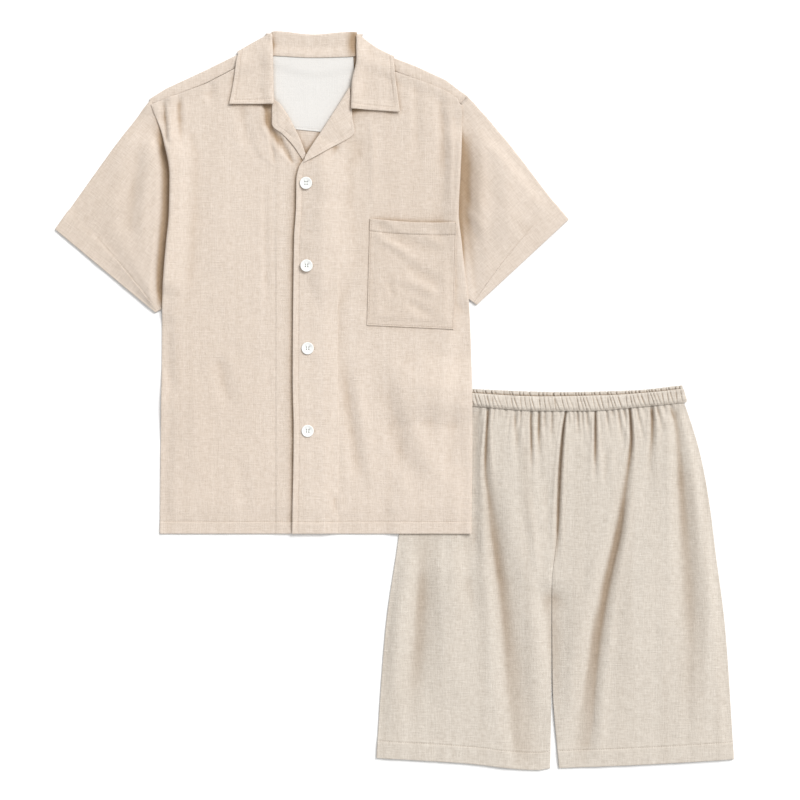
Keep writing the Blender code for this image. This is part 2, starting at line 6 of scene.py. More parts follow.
import bmesh
import bpy
import numpy as np
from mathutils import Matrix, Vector

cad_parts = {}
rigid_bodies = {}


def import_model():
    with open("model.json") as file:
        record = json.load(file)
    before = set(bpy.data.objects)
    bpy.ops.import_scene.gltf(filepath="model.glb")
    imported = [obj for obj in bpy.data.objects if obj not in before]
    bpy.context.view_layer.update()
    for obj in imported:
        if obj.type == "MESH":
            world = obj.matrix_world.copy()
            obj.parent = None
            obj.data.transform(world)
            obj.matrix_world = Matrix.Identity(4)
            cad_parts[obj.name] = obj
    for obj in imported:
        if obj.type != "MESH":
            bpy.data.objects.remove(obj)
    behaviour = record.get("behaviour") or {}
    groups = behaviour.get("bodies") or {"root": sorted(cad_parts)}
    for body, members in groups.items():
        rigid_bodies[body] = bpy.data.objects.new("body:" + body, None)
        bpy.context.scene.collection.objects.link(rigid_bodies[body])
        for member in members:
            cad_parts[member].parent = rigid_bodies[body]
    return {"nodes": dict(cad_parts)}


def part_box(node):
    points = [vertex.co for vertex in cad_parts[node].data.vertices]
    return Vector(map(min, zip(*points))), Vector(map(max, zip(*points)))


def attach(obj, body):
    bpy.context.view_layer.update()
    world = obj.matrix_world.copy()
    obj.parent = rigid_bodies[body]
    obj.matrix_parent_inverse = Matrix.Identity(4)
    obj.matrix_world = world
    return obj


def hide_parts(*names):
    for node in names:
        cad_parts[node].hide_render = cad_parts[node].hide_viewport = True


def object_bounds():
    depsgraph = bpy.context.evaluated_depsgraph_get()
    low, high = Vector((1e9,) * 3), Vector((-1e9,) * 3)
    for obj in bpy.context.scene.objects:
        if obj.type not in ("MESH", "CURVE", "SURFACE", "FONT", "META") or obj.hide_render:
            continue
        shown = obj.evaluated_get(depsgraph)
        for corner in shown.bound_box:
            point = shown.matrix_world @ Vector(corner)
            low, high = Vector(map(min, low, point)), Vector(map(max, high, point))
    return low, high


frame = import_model()
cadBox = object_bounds()
print("frame loaded:", len(frame["nodes"]), "nodes")

# Sizes are in millimetres. Each garment has its own middle line (x, to the wearer's left)
# and its own height above its hem.
mm = 0.001
gap = 0.3                    # air between one cloth and the next
rowPlan = {
    "shirt_back": (249.3, 0.0),             # from the panel's corner to the middle line and the hem
    "shorts_back_right": (267.9, -2.5),
}


def middleLine(node):
    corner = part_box(node)[0]
    return np.array((corner.x / mm, corner.y / mm)) + rowPlan[node]


shirtAt = middleLine("shirt_back")
shortsAt = middleLine("shorts_back_right")


# Reading curves

def mix(a, b, share):
    return a + (b - a) * share


def ease(share):
    share = np.clip(share, 0, 1)
    return share * share * (3 - 2 * share)


def above(values, soft=0.5):
    # the values above nought, with a soft knee
    return soft * np.logaddexp(0, np.clip(values / soft, -40, 40))


def through(knots, at):
    # a smooth line through (place, value) knots that never swings past them
    spots, values = np.array(knots, float).T
    steps = np.diff(values) / np.diff(spots)
    slopes = np.concatenate([steps[:1], np.zeros(len(steps) - 1), steps[-1:]])
    turns = steps[:-1] * steps[1:] > 0
    with np.errstate(divide="ignore", invalid="ignore"):
        inner = 2 / (1 / steps[:-1] + 1 / steps[1:])
    slopes[1:-1] = np.where(turns, inner, 0)
    at = np.clip(at, spots[0], spots[-1])
    k = np.clip(np.searchsorted(spots, at, side="right") - 1, 0, len(steps) - 1)
    width = spots[k + 1] - spots[k]
    t = (at - spots[k]) / width
    rise = values[k + 1] - values[k]
    start, end = slopes[k] * width, slopes[k + 1] * width
    bend, swing = 3 * rise - 2 * start - end, start + end - 2 * rise
    return values[k] + t * start + t * t * bend + t ** 3 * swing


def swell(off, high, wide):
    # a soft rise that is highest on a line, at this distance from it
    return high * np.exp(-(off / wide) ** 2)


def straight(knots, at):
    spots, values = np.array(knots, float).T
    return np.interp(at, spots, values)


def curve(points, parts):
    # x and height along a smooth line through (part, x, height) points
    return (through([(p[0], p[1]) for p in points], parts),
            through([(p[0], p[2]) for p in points], parts))


def crossed(columns, rows):
    return np.meshgrid(columns, rows, indexing="ij")


gridMarks = {"edge": (0.12, 0.4, 0.9, 1.8, 3.2), "seam": (-2.4, -1.2, -0.5, 0.5, 1.2, 2.4)}


def gridLines(length, cell, seams=(), ends=(True, True)):
    # shares of a length for the grid: even cells, closer at rounded ends and beside seams
    marks = {0.0, float(length)}
    if ends[0]:
        marks |= set(gridMarks["edge"])
    if ends[1]:
        marks |= {length - off for off in gridMarks["edge"]}
    for seam in seams:
        marks |= {seam + off for off in gridMarks["seam"]}
    marks = sorted(m for m in marks if 0 <= m <= length)
    lines = []
    for start, end in zip(marks, marks[1:]):
        count = max(1, round((end - start) / cell))
        lines += [mix(start, end, n / count) for n in range(count)]
    return np.array(lines + [length]) / length


rippleNet = {"cells": 64, "start": (31.7, 17.3)}


def ripple(x, y, size, seed):
    # smooth irregular waves between -1 and 1
    cells = rippleNet["cells"]
    net = np.random.RandomState(seed).uniform(-1, 1, (cells, cells))
    u, v = x / size + rippleNet["start"][0], y / size + rippleNet["start"][1]
    iu, iv = np.floor(u).astype(int), np.floor(v).astype(int)
    tu, tv = ease(u - iu), ease(v - iv)

    def at(du, dv):
        return net[(iu + du) % cells, (iv + dv) % cells]

    return mix(mix(at(0, 0), at(1, 0), tu), mix(at(0, 1), at(1, 1), tu), tv)


# Folds listed one by one

# path: where it runs; wide, endWide: half width at either end; rise: a ridge, or a trough below 0
# start, end: the share of its length over which it fades in and out; lean: right flank to left
Fold = namedtuple("Fold", "path wide endWide rise start end lean", defaults=(0.25, 0.35, 1.0))
foldForm = {"steps": 18, "reach": 3.2, "bank": 0.22, "bankAt": 2.0, "bankSpread": 0.6}


def foldHeights(x, y, folds):
    # each fold has a low bank of the other sign along both sides
    total = np.zeros_like(x)
    for fold in folds:
        ends = np.array(fold.path, float)
        at = np.linspace(0, 1, foldForm["steps"] + 1)
        knots = np.linspace(0, 1, len(ends))
        px = through(list(zip(knots, ends[:, 0])), at)
        py = through(list(zip(knots, ends[:, 1])), at)
        reach = foldForm["reach"] * max(fold.wide, fold.endWide) * max(1, fold.lean)
        near = ((x > px.min() - reach) & (x < px.max() + reach)
                & (y > py.min() - reach) & (y < py.max() + reach))
        if not near.any():
            continue
        nx, ny = x[near], y[near]
        best = np.full(nx.shape, 1e9)
        part, side = np.zeros_like(nx), np.zeros_like(nx)
        for k in range(len(at) - 1):
            dx, dy = px[k + 1] - px[k], py[k + 1] - py[k]
            t = np.clip(((nx - px[k]) * dx + (ny - py[k]) * dy) / (dx * dx + dy * dy), 0, 1)
            ox, oy = nx - px[k] - t * dx, ny - py[k] - t * dy
            far = np.hypot(ox, oy)
            closer = far < best
            best = np.where(closer, far, best)
            part = np.where(closer, (k + t) / (len(at) - 1), part)
            side = np.where(closer, dx * oy - dy * ox, side)
        flank = np.where(side > 0, fold.lean, 1.0)
        off = best / (mix(fold.wide, fold.endWide, part) * flank)
        bank = np.exp(-(off - foldForm["bankAt"]) ** 2 / foldForm["bankSpread"])
        shape = np.exp(-off * off) - foldForm["bank"] * bank
        fade = np.ones_like(part)
        if fold.start:
            fade = fade * ease(part / fold.start)
        if fold.end:
            fade = fade * ease((1 - part) / fold.end)
        total[near] += fold.rise * shape * fade
    return total


# The heap of cloth laid so far

def finer(values, times):
    for axis in (0, 1):
        count = values.shape[axis]
        at = np.linspace(0, count - 1, (count - 1) * times + 1)
        low = np.clip(np.floor(at).astype(int), 0, count - 2)
        share = at - low
        share = share[:, None, None] if axis == 0 else share[None, :, None]
        values = mix(values.take(low, axis), values.take(low + 1, axis), share)
    return values


def shifted(heights, dx, dy):
    return np.roll(np.roll(heights, dx, 0), dy, 1)


class Heap:
    # how high the cloth laid so far reaches, on a net of 1 mm cells

    def __init__(self, margin=60):
        low, high = (np.array(corner[:2]) / mm for corner in cadBox)
        self.low = low - margin
        self.tops = np.zeros((high - low + 2 * margin).astype(int))

    def lay(self, middle, half, times=5):
        tops = finer(np.dstack([middle[..., :2], middle[..., 2] + half]), times)
        cell = np.rint(tops[..., :2] - self.low).astype(int)
        np.maximum.at(self.tops, (cell[..., 0], cell[..., 1]), tops[..., 2])

    def window(self, x, y, margin=24):
        corner = np.floor(np.array((x.min(), y.min())) - self.low).astype(int) - margin
        far = np.ceil(np.array((x.max(), y.max())) - self.low).astype(int) + margin
        corner, far = np.maximum(corner, 0), np.minimum(far, self.tops.shape)
        return corner, self.tops[corner[0]:far[0], corner[1]:far[1]].copy()

    def sample(self, heights, corner, x, y):
        u, v = x - self.low[0] - corner[0], y - self.low[1] - corner[1]
        iu = np.clip(np.floor(u).astype(int), 0, heights.shape[0] - 2)
        iv = np.clip(np.floor(v).astype(int), 0, heights.shape[1] - 2)
        tu, tv = np.clip(u - iu, 0, 1), np.clip(v - iv, 0, 1)
        return mix(mix(heights[iu, iv], heights[iu + 1, iv], tu),
                   mix(heights[iu, iv + 1], heights[iu + 1, iv + 1], tu), tv)

    def top(self, x, y):
        corner, heights = self.window(np.atleast_1d(x), np.atleast_1d(y))
        return self.sample(heights, corner, x, y)

    def under(self, x, y, slope=0.3, keep=3, farthest=60):
        # the lowest that cloth can lie there when it falls from what it covers at this slope
        beside = ((1, 0), (-1, 0), (0, 1), (0, -1))
        cornerwise = ((1, 1), (-1, 1), (1, -1), (-1, -1))
        corner, heights = self.window(x, y)
        for _ in range(keep):
            for dx, dy in beside:
                heights = np.maximum(heights, shifted(heights, dx, dy))
        for _ in range(min(farthest, int(heights.max() / slope) + 1)):
            spread = heights
            for ways, fall in ((beside, slope), (cornerwise, slope * 1.414)):
                for dx, dy in ways:
                    spread = np.maximum(spread, shifted(heights, dx, dy) - fall)
            heights = spread
        for _ in range(keep):
            for axis in (0, 1):
                heights = (2 * heights + np.roll(heights, 1, axis) + np.roll(heights, -1, axis)) / 4
        found = self.sample(heights, corner, x, y)
        return found + gap * np.clip(found / gap, 0, 1)


heap = Heap()


def layCloth(row, z, half):
    # the middle of a cloth at these places and heights, laid on the heap
    middle = np.stack([row[0], row[1], z], 2)
    heap.lay(middle, half)
    return middle


# Making a piece of cloth

rim = {"wide": 1.1, "lip": 0.14}      # the round of a cut edge, and the share left at its lip


def rimmed(thick, *edges):
    # half the thickness, drawn in round to a thin lip over its last part beside each edge
    half = np.broadcast_to(thick, np.broadcast_shapes(np.shape(thick), *[e.shape for e in edges])) / 2
    off = 1 - np.clip(np.minimum.reduce(edges) / rim["wide"], 0, 1)
    return half * np.maximum(np.sqrt(np.clip(1 - off * off, 0, 1)), rim["lip"])


def faceOut(bm):
    bmesh.ops.recalc_face_normals(bm, faces=bm.faces[:])
    if bm.calc_volume(signed=True) < 0:
        bmesh.ops.reverse_faces(bm, faces=bm.faces[:])


def makeShell(bm, middle, half, keep=None):
    # a grid shaped to the cloth's middle, grown to a closed wall of the given half thickness
    columns, rows = middle.shape[0] - 1, middle.shape[1] - 1
    facing = np.cross(np.gradient(middle, axis=0), np.gradient(middle, axis=1))
    facing /= np.linalg.norm(facing, axis=2, keepdims=True) + 1e-12
    sides = ((middle + facing * half[..., None]) * mm, (middle - facing * half[..., None]) * mm)
    made = bmesh.ops.create_grid(bm, x_segments=columns, y_segments=rows, size=0.5)["verts"]

    def spot(vert):
        return round((vert.co.x + 0.5) * columns), round((vert.co.y + 0.5) * rows)

    faces = list({face for vert in made for face in vert.link_faces})
    if keep is not None:
        spots = {vert: spot(vert) for vert in made}
        gone = [f for f in faces if not keep(min(spots[v][0] for v in f.verts),
                                             min(spots[v][1] for v in f.verts))]
        bmesh.ops.delete(bm, geom=gone, context="FACES")
        faces = [f for f in faces if f.is_valid]
        made = [v for v in made if v.is_valid]
    grown = bmesh.ops.extrude_face_region(bm, geom=faces, use_keep_orig=True)["geom"]
    inner = [g for g in grown if isinstance(g, bmesh.types.BMVert)]
    for side, verts in zip(sides, (made, inner)):
        for vert in verts:
            vert.co = side[spot(vert)]
    return made + inner


def linked(name, bm, paint):
    mesh = bpy.data.meshes.new(name)
    bm.to_mesh(mesh)
    bm.free()
    mesh.materials.append(paint)
    piece = bpy.data.objects.new(name, mesh)
    bpy.context.scene.collection.objects.link(piece)
    return piece


def ofVertices(mesh, what):
    values = np.zeros(len(mesh.vertices) * 3, np.float32)
    mesh.vertices.foreach_get(what, values)
    return values.reshape(-1, 3)


def finishCloth(name, bm, nodes, slot, grain=0.0):
    # grain: how far the cloth's threads are turned, in degrees
    faceOut(bm)
    piece = linked(name, bm, clothOf[slot])
    mesh = piece.data
    mesh.shade_smooth()
    co = ofVertices(mesh, "co")
    turn = math.radians(grain)
    spots = np.stack([co[:, 0] * math.cos(turn) + co[:, 1] * math.sin(turn),
                      co[:, 1] * math.cos(turn) - co[:, 0] * math.sin(turn)], 1)
    corners = np.zeros(len(mesh.loops), np.int32)
    mesh.loops.foreach_get("vertex_index", corners)
    mesh.uv_layers.new(name="weave").data.foreach_set("uv", spots[corners].ravel())
    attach(piece, "root")
    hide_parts(*nodes)
    return piece


def clothPiece(name, middle, half, nodes, slot, grain=0.0, keep=None):
    bm = bmesh.new()
    makeShell(bm, middle, half, keep)
    piece = finishCloth(name, bm, nodes, slot, grain)
    print("made", name, len(piece.data.polygons), "faces")
    return piece


def rolled(edge, inward, radius, turns, down=180.0):
    # columns that carry an edge round and under: edge and inward are rows of points and directions
    rows = []
    for n in range(1, turns + 1):
        angle = math.radians(down * n / turns)
        rows.append(edge + inward * (-radius * math.sin(angle))[:, None]
                    + np.array((0, 0, 1.0)) * (radius * (math.cos(angle) - 1))[:, None])
    return rows


def pointing(x, y, count):
    # the same kind of level direction for each row, one long
    way = np.zeros((count, 3))
    way[:, 0], way[:, 1] = x, y
    return way / (np.linalg.norm(way, axis=1, keepdims=True) + 1e-9)


def rollOn(middle, half, turned, axis=1, thin=1.0):
    # a cloth with its turned rows joined on at the end
    last = np.repeat(half.take([-1], axis), turned.shape[axis], axis)
    return np.concatenate([middle, turned], axis), np.concatenate([half, last * thin], axis)


def foldOver(first, firstHalf, turned, turnHalf, second, secondHalf):
    # one cloth of two layers and the turned rows between them
    between = np.repeat(turnHalf, turned.shape[1], 1)
    return np.concatenate([first, turned, second], 1), np.concatenate([firstHalf, between, secondHalf], 1)


# Shader maths

class Wire:
    # a socket that can be used in a sum: each sum adds its Math node

    def __init__(self, tree, socket):
        self.tree = tree
        self.socket = socket

    def sum(self, operation, *values):
        node = self.tree.nodes.new("ShaderNodeMath")
        node.operation = operation
        for socket, value in zip(node.inputs, values):
            if isinstance(value, Wire):
                self.tree.links.new(value.socket, socket)
            else:
                socket.default_value = value
        return Wire(self.tree, node.outputs[0])

    def __add__(self, other):
        return self.sum("ADD", self, other)

    __radd__ = __add__

    def __sub__(self, other):
        return self.sum("SUBTRACT", self, other)

    def __rsub__(self, other):
        return self.sum("SUBTRACT", other, self)

    def __mul__(self, other):
        return self.sum("MULTIPLY", self, other)

    __rmul__ = __mul__

    def wave(self):
        return self.sum("SINE", self)

    def over(self, start, end):
        # 0 below start, 1 above end
        node = self.tree.nodes.new("ShaderNodeMapRange")
        node.clamp = True
        self.tree.links.new(self.socket, node.inputs["Value"])
        node.inputs["From Min"].default_value = start
        node.inputs["From Max"].default_value = end
        return Wire(self.tree, node.outputs["Result"])


class Paint:
    # one material: its nodes come from add

    def __init__(self, name):
        self.material = bpy.data.materials.new(name)
        self.material.use_nodes = True
        self.tree = self.material.node_tree
        self.tree.nodes.clear()

    def add(self, kind, settings, sockets, out=0):
        node = self.tree.nodes.new(kind)
        for setting, value in settings.items():
            setattr(node, setting, value)
        for socket, value in sockets.items():
            if isinstance(value, Wire):
                self.tree.links.new(value.socket, node.inputs[socket])
            else:
                node.inputs[socket].default_value = value
        return Wire(self.tree, node.outputs[out])

    def noise(self, where, size, detail=2.0, seed=0.0):
        # size: how long its marks are, across and up, in metres
        scaled = self.add("ShaderNodeVectorMath", {"operation": "MULTIPLY"},
                          {0: where, 1: (1 / size[0], 1 / size[1], 1)})
        moved = self.add("ShaderNodeVectorMath", {"operation": "ADD"},
                         {0: scaled, 1: (seed, seed * 1.7, 0)})
        return self.add("ShaderNodeTexNoise", {"noise_dimensions": "2D"},
                        {"Vector": moved, "Scale": 1.0, "Detail": detail, "Roughness": 0.55})

    def blend(self, share, first, second, kind="MIX"):
        # the Mix node's colour sockets are its inputs 6 and 7 and its output 2
        return self.add("ShaderNodeMix", {"data_type": "RGBA", "blend_type": kind},
                        {0: share, 6: first, 7: second}, 2)

    def surface(self, constants, changing):
        shader = self.tree.nodes.new("ShaderNodeBsdfPrincipled")
        for socket, value in constants.items():
            shader.inputs[socket].default_value = value
        for socket, wire in changing.items():
            self.tree.links.new(wire.socket, shader.inputs[socket])
        end = self.tree.nodes.new("ShaderNodeOutputMaterial")
        self.tree.links.new(shader.outputs[0], end.inputs["Surface"])
        return self.material


def clothPaint(name, look):
    # slubby plain-woven cloth: warp and weft flecks, thick threads, soft tone stripes, fuzz, and painted
    # shade in its hollows
    paint = Paint(name)
    weave = paint.add("ShaderNodeUVMap", {"uv_map": "weave"}, {})
    across = paint.add("ShaderNodeSeparateXYZ", {}, {"Vector": weave}, "X")
    up = Wire(paint.tree, across.socket.node.outputs["Y"])
    warp = paint.noise(weave, look["warpFleck"], 2, 3.1)
    weft = paint.noise(weave, look["weftFleck"], 2, 9.4)
    mottle = paint.noise(weave, look["mottle"], 3, 5.2)
    stripes = paint.noise(weave, look["stripe"], 1, 1.3)
    slubUp = paint.noise(weave, look["slubUp"], 1, 7.7).over(*look["slubRange"])
    slubAcross = paint.noise(weave, look["slubAcross"], 1, 2.6).over(*look["slubRange"])
    bend = (mottle - 0.5) * look["threadBend"]
    threads = (across * look["threads"] + bend).wave() * (up * look["threads"] + bend).wave()
    tone = (0.5 + (warp - 0.5) * look["fleckDepth"] + (weft - 0.5) * look["fleckDepth"]
            + (mottle - 0.5) * look["mottleDepth"] + (stripes - 0.5) * look["stripeDepth"]
            + (slubUp + slubAcross) * look["slubTone"] + threads * look["threadTone"])
    plain = paint.blend(tone, (*look["dark"], 1), (*look["light"], 1))
    # painted shade: the colour is darkened towards the look's deep colour where the cloth lies in a crease or
    # between pieces
    paintedShade = paint.add("ShaderNodeAttribute", {"attribute_name": "paintedShade"}, {}, "Fac")
    color = paint.blend(paintedShade, plain, (*look["deep"], 1), "MULTIPLY")
    lumps = (threads * 0.35 + (warp + weft) * 0.9 + (slubUp + slubAcross) * 0.6 + mottle * 0.5)
    bump = paint.add("ShaderNodeBump", {}, {"Height": lumps, "Strength": look["bump"],
                                            "Distance": look["bumpHeight"]})
    rough = look["rough"] + (mottle - 0.5) * look["roughMottle"]
    return paint.surface({"Sheen Weight": look["sheen"], "Sheen Roughness": 0.5,
                          "Specular IOR Level": 0.25},
                         {"Base Color": color, "Roughness": rough, "Normal": bump})


# deep: in each look, the colour that painted shade darkens the cloth towards in its hollows and creases
shirtLook = {
    "dark": (0.56, 0.462, 0.374), "light": (0.80, 0.70, 0.612), "deep": (0.58, 0.48, 0.365),
    "warpFleck": (0.0018, 0.013), "weftFleck": (0.013, 0.0018), "mottle": (0.0045, 0.0045),
    "stripe": (0.010, 0.30), "slubUp": (0.0013, 0.055), "slubAcross": (0.055, 0.0013),
    "threads": 5200.0, "fleckDepth": 0.62, "mottleDepth": 0.32, "stripeDepth": 0.24,
    "slubTone": 0.10, "threadTone": 0.05, "bump": 0.55, "bumpHeight": 0.0006, "sheen": 0.12,
    "slubRange": (0.62, 0.72), "threadBend": 3.0, "rough": 0.86, "roughMottle": 0.2,
}
shortsLook = dict(
    shirtLook, dark=(0.50, 0.437, 0.368), light=(0.735, 0.672, 0.593), deep=(0.56, 0.475, 0.395),
    stripe=(0.016, 0.45), stripeDepth=0.42, fleckDepth=0.75)
patchLook = dict(
    shirtLook, dark=(0.69, 0.67, 0.64), light=(0.77, 0.75, 0.72), deep=(0.82, 0.76, 0.70),
    fleckDepth=0.3, stripeDepth=0.1, slubTone=0.03, bumpHeight=0.0003,
    warpFleck=(0.0009, 0.004), weftFleck=(0.004, 0.0009))


def threadPaint(name, color, shade):
    paint = Paint(name)
    where = paint.add("ShaderNodeTexCoord", {}, {}, "Object")
    twist = paint.add("ShaderNodeTexNoise", {}, {"Vector": where, "Scale": 2600.0, "Detail": 1.0})
    tone = paint.blend(twist, (*shade, 1), (*color, 1))
    bump = paint.add("ShaderNodeBump", {}, {"Height": twist, "Strength": 0.5, "Distance": 0.0002})
    return paint.surface({"Roughness": 0.7, "Sheen Weight": 0.1}, {"Base Color": tone, "Normal": bump})


def buttonPaint(name, look):
    # pressed resin: cloudy white with a faint grain and a soft gloss
    paint = Paint(name)
    where = paint.add("ShaderNodeTexCoord", {}, {}, "Object")
    cloud = paint.add("ShaderNodeTexNoise", {}, {"Vector": where, "Scale": 220.0, "Detail": 3.0})
    speck = paint.add("ShaderNodeTexNoise", {}, {"Vector": where, "Scale": 1500.0, "Detail": 2.0})
    tone = paint.blend(cloud, (*look["shade"], 1), (*look["light"], 1))
    rough = look["roughness"] + (speck - 0.5) * 0.2
    bump = paint.add("ShaderNodeBump", {}, {"Height": speck, "Strength": 0.15, "Distance": 0.0001})
    return paint.surface({"Specular IOR Level": 0.5},
                         {"Base Color": tone, "Roughness": rough, "Normal": bump})


clothOf = {
    "shirt_cloth": clothPaint("shirtLinen", shirtLook),
    "shorts_cloth": clothPaint("shortsLinen", shortsLook),
    "patch_cloth": clothPaint("patchCotton", patchLook),
}
shirtThread = threadPaint("shirtThread", (0.70, 0.60, 0.50), (0.52, 0.43, 0.35))
# the shorts' hem thread is darker than the cloth: partly its own colour, partly painted shade of the stitch
# line it draws in
shortsThreadAndShade = threadPaint("shortsThreadAndShade", (0.47, 0.41, 0.34), (0.34, 0.29, 0.24))
bandThread = threadPaint("bandThread", (0.60, 0.53, 0.45), (0.44, 0.38, 0.32))
patchThread = threadPaint("patchThread", (0.93, 0.91, 0.88), (0.80, 0.77, 0.73))
buttonThread = threadPaint("buttonThread", (0.60, 0.63, 0.58), (0.46, 0.49, 0.45))
buttonLook = {"light": (0.90, 0.91, 0.89), "shade": (0.82, 0.83, 0.81), "roughness": 0.35}
buttonResin = buttonPaint("buttonResin", buttonLook)
print("materials made")


# Stitches

stitchSize = {"pitch": 3.4, "long": 2.5, "wide": 0.34, "high": 0.28}


class Seam:
    # a run of stitches that is gathered into one mesh for each piece of cloth

    def __init__(self, name, paint, slot):
        self.bm = bmesh.new()
        self.name = name
        self.paint = paint
        self.slot = slot
        self.count = 0

    def run(self, x, y, pitch=stitchSize["pitch"], sink=0.05):
        # along a line, on top of the cloth laid so far
        far = np.concatenate([[0], np.cumsum(np.hypot(np.diff(x), np.diff(y)))])
        count = int(far[-1] / pitch)
        at = (np.arange(count) + 0.5) / count * far[-1]
        sx, sy = np.interp(at, far, x), np.interp(at, far, y)
        ahead = stitchSize["long"] / 2
        ax, ay = np.interp(at + ahead, far, x), np.interp(at + ahead, far, y)
        bx, by = np.interp(at - ahead, far, x), np.interp(at - ahead, far, y)
        z, za, zb = (heap.top(u, v) - sink for u, v in ((sx, sy), (ax, ay), (bx, by)))
        for n in range(count):
            self.stitch(Vector((bx[n], by[n], zb[n])), Vector((ax[n], ay[n], za[n])),
                        max(z[n], (za[n] + zb[n]) / 2))

    def stitch(self, start, end, height):
        made = bmesh.ops.create_icosphere(self.bm, subdivisions=1, radius=0.5)["verts"]
        reach = end - start
        along = reach.normalized()
        across = Vector((-along.y, along.x, 0)).normalized()
        over = along.cross(across)
        middle = (start + end) / 2
        middle.z = height
        size = stitchSize
        for vert in made:
            far = along * (vert.co.x * max(size["long"], reach.length) * 1.05)
            vert.co = (middle + far + across * (vert.co.y * 2 * size["wide"])
                       + over * (vert.co.z * 2 * size["high"])) * mm
        self.count += 1

    def finish(self):
        piece = linked(self.name, self.bm, self.paint)
        piece.data.shade_smooth()
        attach(piece, "root")
        print("sewn", self.name, self.count, "stitches")


def sew(name, paint, slot, *lines, pitch=stitchSize["pitch"]):
    seam = Seam(name + "_stitches", paint, slot)
    for x, y in lines:
        seam.run(x, y, pitch)
    seam.finish()


def groove(off, depth=0.75, wide=0.9):
    # how far a line of stitches draws the cloth in, at this distance from it
    return swell(off, depth, wide)


# The shorts

legShape = {
    "rightSide": ((0, -269), (16, -268), (211, -254), (330, -237), (387, -229), (462, -216),
                  (540, -198), (556, -192)),
    "leftSide": ((0, 269), (16, 268), (211, 255), (330, 240), (387, 233), (462, 220),
                 (540, 197), (556, 190)),
    "rightInner": ((0, -7.5), (131, -5.6), (276, -5.2), (358, 2.8), (462, 5.8), (556, 15.8)),
    "leftInner": ((0, 6), (131, -3.9), (276, -4.8), (358, 3.2), (462, 6.2), (556, 16.2)),
    "hem": ((-268, 18), (-139, 10.5), (-25, 0), (-7.5, 2.5), (6, 3), (128, 8), (268, 16)),
    "hemEnds": (268, 7), "headEnds": (197, 15.5),       # x of each panel's outer and inner corners
    "wide": 262, "tall": 538, "gathered": 70,           # its size, and the finer rows below the band
    "hemDepth": 26, "thick": 1.1, "hemThick": 2.0, "cut": (0.285, 0.56), "cutArea": 0.138,
    "loft": ((0, 1.2), (60, 4.0), (200, 7.0), (340, 8.4), (470, 8.8), (525, 7.0), (545, 3.0), (556, 1.0)),
    "apartBelow": 290, "joinedAbove": 276,              # the legs part here, at the crotch
    "shirtEdge": -102, "shirtHem": 290,                 # the shirt presses the cloth down past these
}
bandShape = {
    "foot": ((-200, 551), (-123, 545), (-21, 538), (47, 538), (116, 543), (197, 551)),
    "frontTop": ((-196, 572), (-123, 565), (-21, 560), (82, 562), (151, 567), (194, 572)),
    "backTop": ((-196, 577), (-123, 571), (13, 566.5), (116, 569), (194, 577)),
    "ends": (-196, 189.5), "footEnds": (-199, 193.5), "tuck": 4, "thick": 2.0,
    "loft": 1.3, "ridgeGap": (4.2, 8.6), "ridgeDepth": 2.7, "slant": (-13, -2), "seed": 12,
    "wide": 393, "tall": 23, "backLoft": 3.6, "cut": (0.88, 0.03), "topstitch": 1.4, "pitch": 2.6,
}

# long folds down the legs: deep and narrow under the band, wide and soft lower down
legFolds = (
    Fold(((-100, 550), (-104, 490), (-105, 450), (-99, 400), (-90, 350)), 1.7, 6.0, -7.0, 0, 0.8, 1.3),
    Fold(((-106, 500), (-97, 380), (-80, 280), (-62, 130), (-42, -15)), 6, 18, -6.8, 0.32, 0.12, 1.6),
    Fold(((-37.5, 550), (-36, 480), (-35.5, 430)), 1.7, 3.4, -4.4, 0, 0.8),
    Fold(((-26, 545), (-24, 480), (-24, 400)), 2.2, 5.0, -2.0, 0, 0.7),
    Fold(((-62, 545), (-58, 490), (-56, 430)), 2.4, 7.0, -2.6, 0, 0.7),
    Fold(((17, 548), (11, 500), (6.6, 440), (3.6, 350), (3, 290)), 1.8, 5.0, -6.6, 0, 0.55, 0.8),
    Fold(((-14, 470), (-12, 380), (-4, 280)), 7.0, 8.0, -1.8, 0.3, 0.4),
    Fold(((60, 548), (59.5, 480), (58.5, 415)), 1.8, 4.0, -6.4, 0, 0.8),
    Fold(((76, 490), (74, 420)), 4.0, 5.0, -1.6, 0.3, 0.4),
    Fold(((111, 550), (114, 500), (110, 455), (98, 390)), 1.9, 6.0, -7.0, 0, 0.8, 0.75),
    Fold(((114, 500), (98, 370), (76, 270), (60, 170), (38, -15)), 6, 18, -6.8, 0.32, 0.12, 0.62),
    Fold(((145, 550), (145, 510), (142, 460), (140, 380)), 1.9, 7.0, -4.6, 0, 0.8),
    Fold(((176, 549), (184, 500), (190, 420), (198, 320), (203, 190), (190, 40)), 5, 21, -6.0, 0.05, 0.35),
    Fold(((-197, 370), (-199, 290), (-204, 200), (-226, 60)), 16, 22, -6.0, 0.1, 0.3),
    Fold(((-135, 370), (-130, 290), (-122, 200)), 9, 13, -3.0, 0.2, 0.4),
    Fold(((-160, 330), (-155, 200), (-140, 60)), 22, 26, 1.8, 0.3, 0.3),
    Fold(((140, 420), (130, 250), (120, 70)), 20, 26, 1.8, 0.3, 0.3),
    Fold(((-20, 250), (-24, 150), (-26, 50)), 12, 12, 1.2, 0.3, 0.4),
    Fold(((25, 250), (24, 150), (24, 50)), 12, 12, 1.0, 0.3, 0.4),
    Fold(((-45, 440), (-30, 330), (-24, 285)), 5, 7, 1.5, 0.3, 0.3),
)
